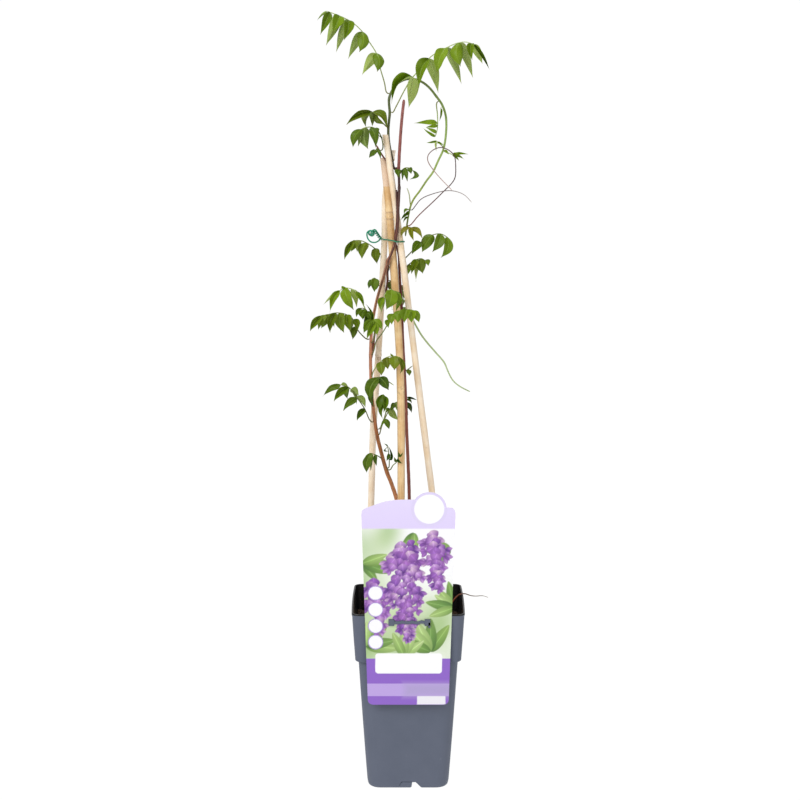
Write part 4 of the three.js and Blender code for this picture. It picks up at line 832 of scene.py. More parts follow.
# Paths and radii in millimetres. Radii and tints stand evenly along each rod, from foot to tip.
stems = {
    "stem_main": {
        "slot": "brown_bark",
        "bark": twin_bark,
        "rods": [
            {
                "path": [
                    (2, 1, 110), (-2, 0, 160), (-2, 0, 205), (-3, 0, 250), (-5, -1, 314), (-11.5, -5, 372),
                    (-16.3, -8, 403), (-23.9, -9.3, 427), (-29.4, -10, 441), (-36.5, -8, 466),
                    (-42.6, -6, 491), (-46.4, -4, 516), (-49.8, -2, 545), (-51.2, -1, 571),
                    (-51.4, -1, 614), (-50, 0, 637), (-48.1, 1, 653), (-42, -1, 682), (-36, -3.5, 702),
                    (-31, -7, 720), (-27, -9, 733), (-22.5, -11.9, 744), (-18.8, -15, 755),
                    (-16, -17.6, 767), (-14, -18.8, 783), (-13.4, -18.4, 803), (-12.4, -16.2, 824),
                    (-13, -8, 857),
                ],
                "radii": [3, 5, 4, 3.2, 3, 2.8, 2.6, 2.4, 2.2, 2, 2, 1.7, 1.8],
                "tints": [
                    "#7a4128", "#a0583a", "#ab6a40", "#be7f52", "#975a27", "#c88460", "#c68a66", "#7a4838",
                    "#341c1c",
                ],
            },
            {
                "path": [(-13.5, -9.5, 845), (-12, -6, 878), (-9, -2, 920), (-6, 0, 947)],
                "radii": [2.2, 2],
                "tints": ["#8c4a42", "#a0605a"],
            },
            {
                "path": [
                    (-51.5, -1, 596), (-48, 7, 616), (-45.7, 19.5, 632), (-41, 24, 650), (-36, 22.8, 670),
                    (-30.7, 19.2, 688), (-28.3, 12.5, 703), (-28.5, 5, 716), (-27, -6, 731),
                ],
                "radii": [1.8, 1.5, 1.6, 1.9],
                "tints": ["#7e4636", "#8e5240", "#6a3c30"],
            },
        ],
        "knots": [
            (-27, -8, 732, 3.4), (-18.5, -15.5, 755, 2.6), (-12.6, -13.8, 830, 2.4),
            (-49.5, -0.5, 604, 2.7), (-27, -10, 443, 3.1),
        ],
    },
    "stem_dark": {
        "slot": "dark_bark",
        "bark": ripe_bark,
        "rods": [
            {
                "path": [
                    (8, 8, 192), (7, 7, 222), (4, 5, 260), (2.4, 3, 312), (1.6, -2, 371), (1.4, -4, 413),
                    (-0.1, -3, 452), (-2.2, -1, 502), (-3.9, 0.6, 553), (-5.7, 2.2, 591), (-7.1, 2.8, 616),
                    (-9, 3.3, 664), (-11, 4.5, 699), (-12.3, 4, 722), (-12.6, 1, 736), (-14.3, -3.4, 746),
                    (-16.9, -7.7, 754), (-17.9, -11.4, 761), (-17, -14.4, 771), (-15.6, -15.6, 783),
                    (-15, -15.2, 800), (-15.4, -14.2, 815), (-15.8, -13.2, 828),
                ],
                "radii": [2.5, 2.5, 2.4, 2.4, 2.3, 2.1, 2, 1.7, 1.4],
                "tints": ["#4a1c18", "#6a2c24", "#8c4c3c", "#8a4c3e", "#6c342c", "#4a2420"],
            },
        ],
        "knots": [(-15.5, -14, 827, 1.8)],
    },
    "shoot_long": {
        "slot": "green_bark",
        "bark": new_growth,
        "grows_on": "stem_main",
        "rods": [
            {
                "path": [
                    (-19, -3, 856), (-22.5, 0, 872), (-26, 1, 890), (-27, 1, 905), (-26, 2, 919),
                    (-25, 3, 929), (-26, 4, 947), (-23, 5, 957), (-15, 7, 968), (-3, 10, 974),
                    (9, 12, 974), (19, 13, 970), (28, 14, 963), (37, 14, 952), (45, 13, 941),
                    (50, 12, 927), (51, 10, 914), (50, 8, 897), (47, 6, 881), (40, 4, 866), (33, 2, 851),
                    (24, 0, 839), (16, -2, 827), (7, -4, 815), (3, -5, 806), (1, -6, 798), (-1, -7, 787),
                    (-3, -9, 774), (-4, -11, 766),
                ],
                "radii": [1.9, 1.8, 1.7, 1.6, 1.5, 1.4, 1.3, 1.1],
                "tints": [
                    "#3a201c", "#4a5526", "#566430", "#5f6e32", "#84a04a", "#98b058", "#8a9c3c", "#6e7c2e",
                ],
            },
            {
                "path": [(3, -5, 805), (2, -3, 814), (1, -1, 822), (-2, 1, 830)],
                "radii": [0.9, 0.7],
                "tints": ["#8f9a60", "#c9d0a8"],
            },
        ],
        "knots": [(-26, 4, 948, 2.1), (-25, 3, 928, 2), (37, 14, 952, 1.8)],
    },
    "twig_cut": {
        "slot": "brown_bark",
        "bark": ripe_bark,
        "grows_on": "shoot_long",
        "rods": [
            {
                "path": [(-26, -5, 863), (-31, -6.5, 868), (-37, -10, 877), (-43, -14, 887)],
                "radii": [1.1, 1.2],
                "tints": ["#6d4030", "#84503c"],
            },
        ],
        "knots": [],
    },
    "tendril_loop": {
        "slot": "young_bark",
        "bark": new_growth,
        "grows_on": "shoot_long",
        "rods": [
            {
                "path": [
                    (1.5, -10, 780), (13, -12, 793), (36, -15, 815), (48, -17, 827), (57, -18, 836),
                    (62, -18, 844), (63, -17, 858), (61, -15, 873), (53, -12, 881), (42, -9, 884),
                    (32, -8, 880), (26, -9, 873), (26, -11, 866), (32, -14, 856), (44, -21, 842),
                    (58, -25, 828),
                ],
                "radii": [0.8, 0.7, 0.6],
                "tints": ["#8a4a3c", "#6b4240", "#4e3434", "#4a3232", "#5e423e", "#a88a80", "#c8b0a8"],
            },
        ],
        "knots": [],
    },
    "tendril_arc": {
        "slot": "young_bark",
        "bark": new_growth,
        "grows_on": "shoot_long",
        "rods": [
            {
                "path": [
                    (4, -5, 800), (17, -1, 815), (33, 2, 822), (52, 6, 826), (64, 9, 825), (76, 12, 820),
                    (86, 14, 810),
                ],
                "radii": [0.7, 0.5],
                "tints": ["#4e4444", "#6e6060", "#8a7f7c", "#b8aaa4"],
            },
        ],
        "knots": [],
    },
    "shoot_pale": {
        "slot": "pale_bark",
        "bark": new_growth,
        "grows_on": "stem_dark",
        "rods": [
            {
                "path": [
                    (-3, 12, 662), (5, 18, 652), (9, 20, 644), (18, 22, 628), (27, 23, 616), (39, 24, 602),
                    (50, 24, 589), (55, 24, 577), (62, 24, 564), (71, 24, 556), (86, 24, 548),
                ],
                "radii": [1.3, 1.2, 0.9],
                "tints": ["#8fa85e", "#aec48a", "#b6c892", "#a8b88c"],
            },
        ],
        "knots": [(27, 23, 616, 1.4), (50, 24, 588, 1.4)],
    },
}


def at_share(values, share):
    """A value at a share of a rod's length, from values that stand evenly along it."""
    places = np.linspace(0, 1, len(values))
    values = np.array(values, float)
    if values.ndim == 1:
        return np.interp(share, places, values)
    return np.stack([np.interp(share, places, values[:, i]) for i in range(values.shape[1])], -1)


def foot_on(stem_name, target, radius):
    """Where a side shoot or a leaf's stalk leaves a stem: in its bark, on the side of its next point."""
    best = None
    for rod in stems[stem_name]["rods"]:
        line, places = smooth_path(rod["path"], ROD_STEP)
        gaps = np.linalg.norm(line - np.array(target), axis=1)
        nearest = int(gaps.argmin())
        if best is None or gaps[nearest] < best[0]:
            best = (gaps[nearest], line[nearest], at_share(rod["radii"], places[nearest] / places[-1]))
    outward = np.array(target) - best[1]
    return tuple(best[1] + outward / np.linalg.norm(outward) * (best[2] - radius * 0.5))


def skeleton(name, lines, spots=()):
    """A mesh of bare lines and spots for a tree to grow on. Each line holds points, girths and tints."""
    points, edges, girths, tints = [], [], [], []
    for line, girth, tint in lines:
        edges += [(len(points) + i, len(points) + i + 1) for i in range(len(line) - 1)]
        points += [tuple(p) for p in line]
        girths += list(girth)
        tints += [tuple(t) for t in tint]
    mesh = bpy.data.meshes.new(name)
    mesh.from_pydata([[c * MM for c in p] for p in [*points, *spots]], edges, [])
    piece = bpy.data.objects.new(name, mesh)
    bpy.context.scene.collection.objects.link(piece)
    paint(piece, "girth", [g * MM for g in girths] + [0.0] * len(spots))
    paint(piece, "tint", tints + [(0, 0, 0, 1)] * len(spots), "FLOAT_COLOR")
    return piece


def rod_line(path, radii, tints, knots=(), step=ROD_STEP):
    """One rod's points, girths and tints, with a swelling where it passes a knot and rounded ends."""
    line, places = smooth_path(path, step)
    shares = places / places[-1]
    girths = at_share(radii, shares)
    for *centre, radius in knots:
        gaps = np.linalg.norm(line - np.array(centre), axis=1)
        girths = girths + max(0, radius - girths[gaps.argmin()]) * np.exp(-((gaps / (1.1 * radius)) ** 2))
    ends = np.clip(np.minimum(places, places[-1] - places) / END_REACH, 0, 1)
    girths = girths * (0.55 + 0.45 * np.sqrt(ends))
    return line, girths, at_share([linear(t) for t in tints], shares)


for name, each in stems.items():
    if "grows_on" in each:
        first = each["rods"][0]
        first["path"] = [foot_on(each["grows_on"], first["path"][0], first["radii"][0]), *first["path"]]
for name, each in stems.items():
    lines = [rod_line(rod["path"], rod["radii"], rod["tints"], each["knots"]) for rod in each["rods"]]
    piece = skeleton(name + "_bark", lines)
    uneven = 2 * (GROWTH_ROUGHNESS if each["bark"] is new_growth else BARK_ROUGHNESS)
    grown(piece, rods, Step=ROD_STEP * MM, Sides=12, Unevenness=uneven * MM, Seed=len(name),
          Skin=each["bark"])
    piece.data.shade_smooth()
    # Which way each point faces across; the bark of two strands paints its crease shade where this is near
    # nothing.
    paint(piece, "aside", [v.normal.x + 0.35 * v.normal.z for v in piece.data.vertices])
    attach(piece, "root")
    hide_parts(name)

# A thin brown root lies out of the compost over the right-hand rim, and dries to a pale thread.
root_path = [
    (44, 2, 206), (48, 4, 226), (55, 8, 240), (63.3, 14, 250), (67.5, 17, 254.4), (71.5, 18.5, 257.6),
    (77, 19, 259.3), (82.3, 19.5, 258.8), (88, 20, 256.4), (96, 21, 255.2), (106, 23, 255.2),
    (114, 24, 252.2),
]
root_tints = ["#a85a34", "#b8643a", "#b86038", "#a8552e", "#7a5a4a", "#b0a79c", "#c8c0b6"]
root_line = rod_line(root_path, [1.3, 1.2, 0.9, 0.5], root_tints)
piece = skeleton("thin_root", [root_line])
grown(piece, rods, Step=ROD_STEP * MM, Sides=8, Unevenness=0.5 * MM, Seed=2, Skin=ripe_bark)
piece.data.shade_smooth()
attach(piece, "root")
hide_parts("root_over_rim")

# ---- Leaves ----
# A wisteria leaf is a thin stalk and rib with pointed oval leaflets in pairs and one at its end. Each
# leaflet is a soft blade, arched and wavy, with sunken veins, satin above and paler and duller below.

BLADE_LENGTH_STEPS = 24
BLADE_WIDTH_STEPS = 10
BLADE_BOW = 0.13  # how far the middle stands off the straight line from foot to tip, per length
BLADE_THICKNESS = 0.012  # per length
BLADE_WAVES = 13  # radians of the edge's wave, per length
BLADE_SWAY = 0.05  # how far the midrib leaves a straight line, per length
VEIN_DEPTH = 0.008  # per length
MIDRIB_DEPTH = 0.012  # per length
MIDRIB_HALF_WIDTH = 1 / 6  # per half width of the blade
SIDE_VEINS = 7  # on each side of the midrib
STALK_STEP = 3.0
STALK_RADIUS = 0.9
CLOUDING = 0.24  # how far the green varies over a blade

BLADE_OUTLINE = [
    # share of the length, half width per greatest half width of a full blade, and of a slender one
    (0, 0.08, 0.06), (0.03, 0.4, 0.3), (0.07, 0.62, 0.52), (0.13, 0.81, 0.76), (0.21, 0.94, 0.94),
    (0.3, 1, 1), (0.4, 1, 0.96), (0.5, 0.95, 0.86), (0.6, 0.84, 0.7), (0.7, 0.67, 0.52), (0.78, 0.48, 0.36),
    (0.85, 0.29, 0.22), (0.91, 0.14, 0.12), (0.96, 0.06, 0.05), (1, 0.015, 0.015),
]


def blade_width(share, slender):
    """Half the blade's width at a share of its length, per greatest half width."""
    shares, full, thin = zip(*BLADE_OUTLINE)
    return float((1 - slender) * np.interp(share, shares, full) + slender * np.interp(share, shares, thin))


def blade(name, slender, fold, wave, twist, curl, seed):
    """One blade of a kind: it reaches 1 along Y and 1 to each side, and is deformed in Z."""
    draw = random.Random(seed)
    phases = [draw.uniform(0, math.tau) for _ in range(4)]
    top, under, place = [], [], []
    for row in range(BLADE_LENGTH_STEPS + 1):
        share = row / BLADE_LENGTH_STEPS
        for column in range(BLADE_WIDTH_STEPS + 1):
            across = 2 * column / BLADE_WIDTH_STEPS - 1
            side = 0 if across < 0 else 1
            edge = abs(across)
            width = blade_width(share, slender)
            vein = (share * SIDE_VEINS - 1.1 * edge * width) % 1
            height = BLADE_BOW * math.sin(math.pi * share**0.8) - curl * share**2.5
            height += fold * edge**1.2 * width * 0.3
            ripple = share * BLADE_WAVES + phases[side] + 2 * draw.uniform(-0.05, 0.05)
            height += wave * edge**2 * width * math.sin(ripple)
            height += twist * across * (share - 0.4) * 0.4
            quilting = VEIN_DEPTH * math.sin(math.pi * vein) * min(1, 3 * edge) * width
            height += quilting - MIDRIB_DEPTH * hump(across, MIDRIB_HALF_WIDTH)
            sway = BLADE_SWAY * math.sin(share * 3 + phases[2]) * share
            top.append((across * width + sway, share, height + BLADE_THICKNESS / 2))
            under.append((across * width + sway, share, height - BLADE_THICKNESS / 2))
            place.append((across, share, 0))
    rows, columns = BLADE_LENGTH_STEPS, BLADE_WIDTH_STEPS + 1
    shift = len(top)
    faces, is_under = [], []
    for row in range(rows):
        for column in range(columns - 1):
            a = row * columns + column
            faces.append((a, a + 1, a + columns + 1, a + columns))
            faces.append(tuple(shift + i for i in reversed(faces[-1])))
            is_under += [False, True]
    rim = [row * columns for row in range(rows, 0, -1)]
    rim += list(range(columns - 1))
    rim += [row * columns + columns - 1 for row in range(rows)]
    rim += [rows * columns + column for column in range(columns - 1, 0, -1)]
    for a, b in zip(rim, rim[1:] + rim[:1]):
        faces.append((b, a, shift + a, shift + b))
        is_under.append(True)
    mesh = bpy.data.meshes.new(name)
    mesh.from_pydata(top + under, [], faces)
    piece = bpy.data.objects.new(name, mesh)
    mesh.shade_smooth()
    paint(piece, "blade", place * 2, "FLOAT_VECTOR")
    paint(piece, "under", is_under, "BOOLEAN", "FACE")
    return piece


blade_kinds = bpy.data.collections.new("kinds of blade")
KINDS = {
    # name: how slender it is, and how far it folds up along its midrib, waves at its edges, twists and
    # curls down at its tip
    "blade_0_even": (0.1, 0.5, 0.02, 0.0, 0.02),
    "blade_1_wavy": (0.2, 0.3, 0.05, 0.2, 0.04),
    "blade_2_folded": (0.5, 0.95, 0.03, -0.15, 0.03),
    "blade_3_drooping": (0.1, -0.5, 0.03, 0.15, 0.07),
    "blade_4_slender": (1.0, 0.55, 0.03, -0.25, 0.04),
    "blade_5_crinkled": (0.2, 0.5, 0.12, 0.6, 0.12),
    "blade_6_slender": (0.9, 0.2, 0.03, 0.3, 0.05),
}
for seed, (name, form) in enumerate(KINDS.items()):
    blade_kinds.objects.link(blade(name, *form, seed))


def leaf_skin(name, young, ripe, vein, rough, glow):
    """A leaf's veined skin: from young to ripe green by its stored age, and blushed with brown."""
    material, tree, shader = new_material(name, Roughness=rough, IOR=1.27, Subsurface_Weight=glow)
    shader.inputs["Subsurface Radius"].default_value = (0.4, 1, 0.1)
    shader.inputs["Subsurface Scale"].default_value = 1 * MM
    age = stored(tree, "age")
    place = add_node(tree, "ShaderNodeTexCoord", output="Object")
    clouds = noise(tree, place, 9, 2)
    varied = maths(tree, "MULTIPLY_ADD", clouds, CLOUDING, age)
    varied = maths(tree, "ADD", varied, -CLOUDING / 2, clamp=True)
    green = mix(tree, varied, young, ripe)
    blush = stored(tree, "blush")
    patchy = maths(tree, "MULTIPLY_ADD", clouds, 2.0, -0.2, clamp=True)
    patchy = maths(tree, "MULTIPLY", patchy, blush)
    green = mix(tree, patchy, green, "#a8782c")
    blade_place = stored(tree, "blade", "Vector")
    split = add_node(tree, "ShaderNodeSeparateXYZ", [blade_place]).node
    edge = maths(tree, "ABSOLUTE", split.outputs["X"])
    slope = maths(tree, "MULTIPLY", edge, -0.75)
    veins = maths(tree, "MULTIPLY_ADD", split.outputs["Y"], SIDE_VEINS, slope)
    veins = maths(tree, "PINGPONG", veins, 0.5)
    side_vein = ramp(tree, veins, 0.09, 0.0, 0.12)
    midrib = ramp(tree, edge, 0.07, 0.02, 0.6)
    lines = maths(tree, "MAXIMUM", side_vein, midrib)
    veined = mix(tree, lines, green, vein)
    tip = ramp(tree, split.outputs["Y"], 0.9, 1.0, 0.6)
    coloured = mix(tree, tip, veined, "#8a5a2c")
    tree.links.new(coloured, shader.inputs["Base Color"])
    raised(tree, shader, lines, 0.15, 0.15, invert=True)
    return material


# Living leaf: a thin waxy film over green tissue, so a satin gloss and a little light inside.
upper_skin = leaf_skin("leaf, upper face", "#819e1b", "#264106", "#8ea648", 0.4, 0.04)
under_skin = leaf_skin("leaf, under face", "#b4c66a", "#4f6b24", "#b4c484", 0.6, 0.05)

# A leaf grows as a rod for its stalk and rib, and a blade on each spot that has a reach, turned and
# scaled as painted on the spot, and swept sideways in its middle.
leaf_tree, given = new_tree("leaflets on a rib", Blades="collection", Step="number", Sides="count",
                            Seed="count", Upper="material", Under="material", Stalk="material")
stalks = leaf_tree.nodes.new("GeometryNodeGroup")
stalks.node_tree = rods
for socket in ("Geometry", "Step", "Sides", "Seed"):
    leaf_tree.links.new(given[socket], stalks.inputs[socket])
leaf_tree.links.new(given["Stalk"], stalks.inputs["Skin"])
stalks.inputs["Unevenness"].default_value = 0.1 * MM
reach = named(leaf_tree, "reach")
is_foot = maths(leaf_tree, "GREATER_THAN", reach, 0.0001)
feet = add_node(leaf_tree, "GeometryNodeMeshToPoints", {"Mesh": given["Geometry"], "Selection": is_foot})
kinds = add_node(leaf_tree, "GeometryNodeCollectionInfo",
                 {"Collection": given["Blades"], "Separate Children": True, "Reset Children": True})
kind = named(leaf_tree, "kind", "INT")
turn = named(leaf_tree, "turn", "FLOAT_VECTOR")
turn = add_node(leaf_tree, "FunctionNodeEulerToRotation", [turn])
spread = named(leaf_tree, "spread")
scale = add_node(leaf_tree, "ShaderNodeCombineXYZ", [spread, reach, reach])
blades = add_node(leaf_tree, "GeometryNodeInstanceOnPoints",
                  {"Points": feet, "Instance": kinds, "Pick Instance": True, "Instance Index": kind,
                   "Rotation": turn, "Scale": scale})
blades = add_node(leaf_tree, "GeometryNodeRealizeInstances", [blades])
bend = named(leaf_tree, "bend", "FLOAT_VECTOR")
on_blade = named(leaf_tree, "blade", "FLOAT_VECTOR")
length = add_node(leaf_tree, "ShaderNodeSeparateXYZ", [on_blade], 1)
sweep = maths(leaf_tree, "MULTIPLY", length, math.pi)
sweep = maths(leaf_tree, "SINE", sweep)
offset = add_node(leaf_tree, "ShaderNodeVectorMath", {0: bend, "Scale": sweep}, operation="SCALE")
blades = add_node(leaf_tree, "GeometryNodeSetPosition", {"Geometry": blades, "Offset": offset})
under = named(leaf_tree, "under", "BOOLEAN")
blades = add_node(leaf_tree, "GeometryNodeSetMaterial", {"Geometry": blades, "Material": given["Upper"]})
whole = add_node(leaf_tree, "GeometryNodeJoinGeometry", [blades])
leaf_tree.links.new(stalks.outputs["Geometry"], whole.node.inputs[0])
whole = add_node(leaf_tree, "GeometryNodeRealizeInstances", [whole])
skinned = add_node(leaf_tree, "GeometryNodeSetMaterial",
                   {"Geometry": whole, "Selection": under, "Material": given["Under"]})
add_node(leaf_tree, "NodeGroupOutput", [skinned])

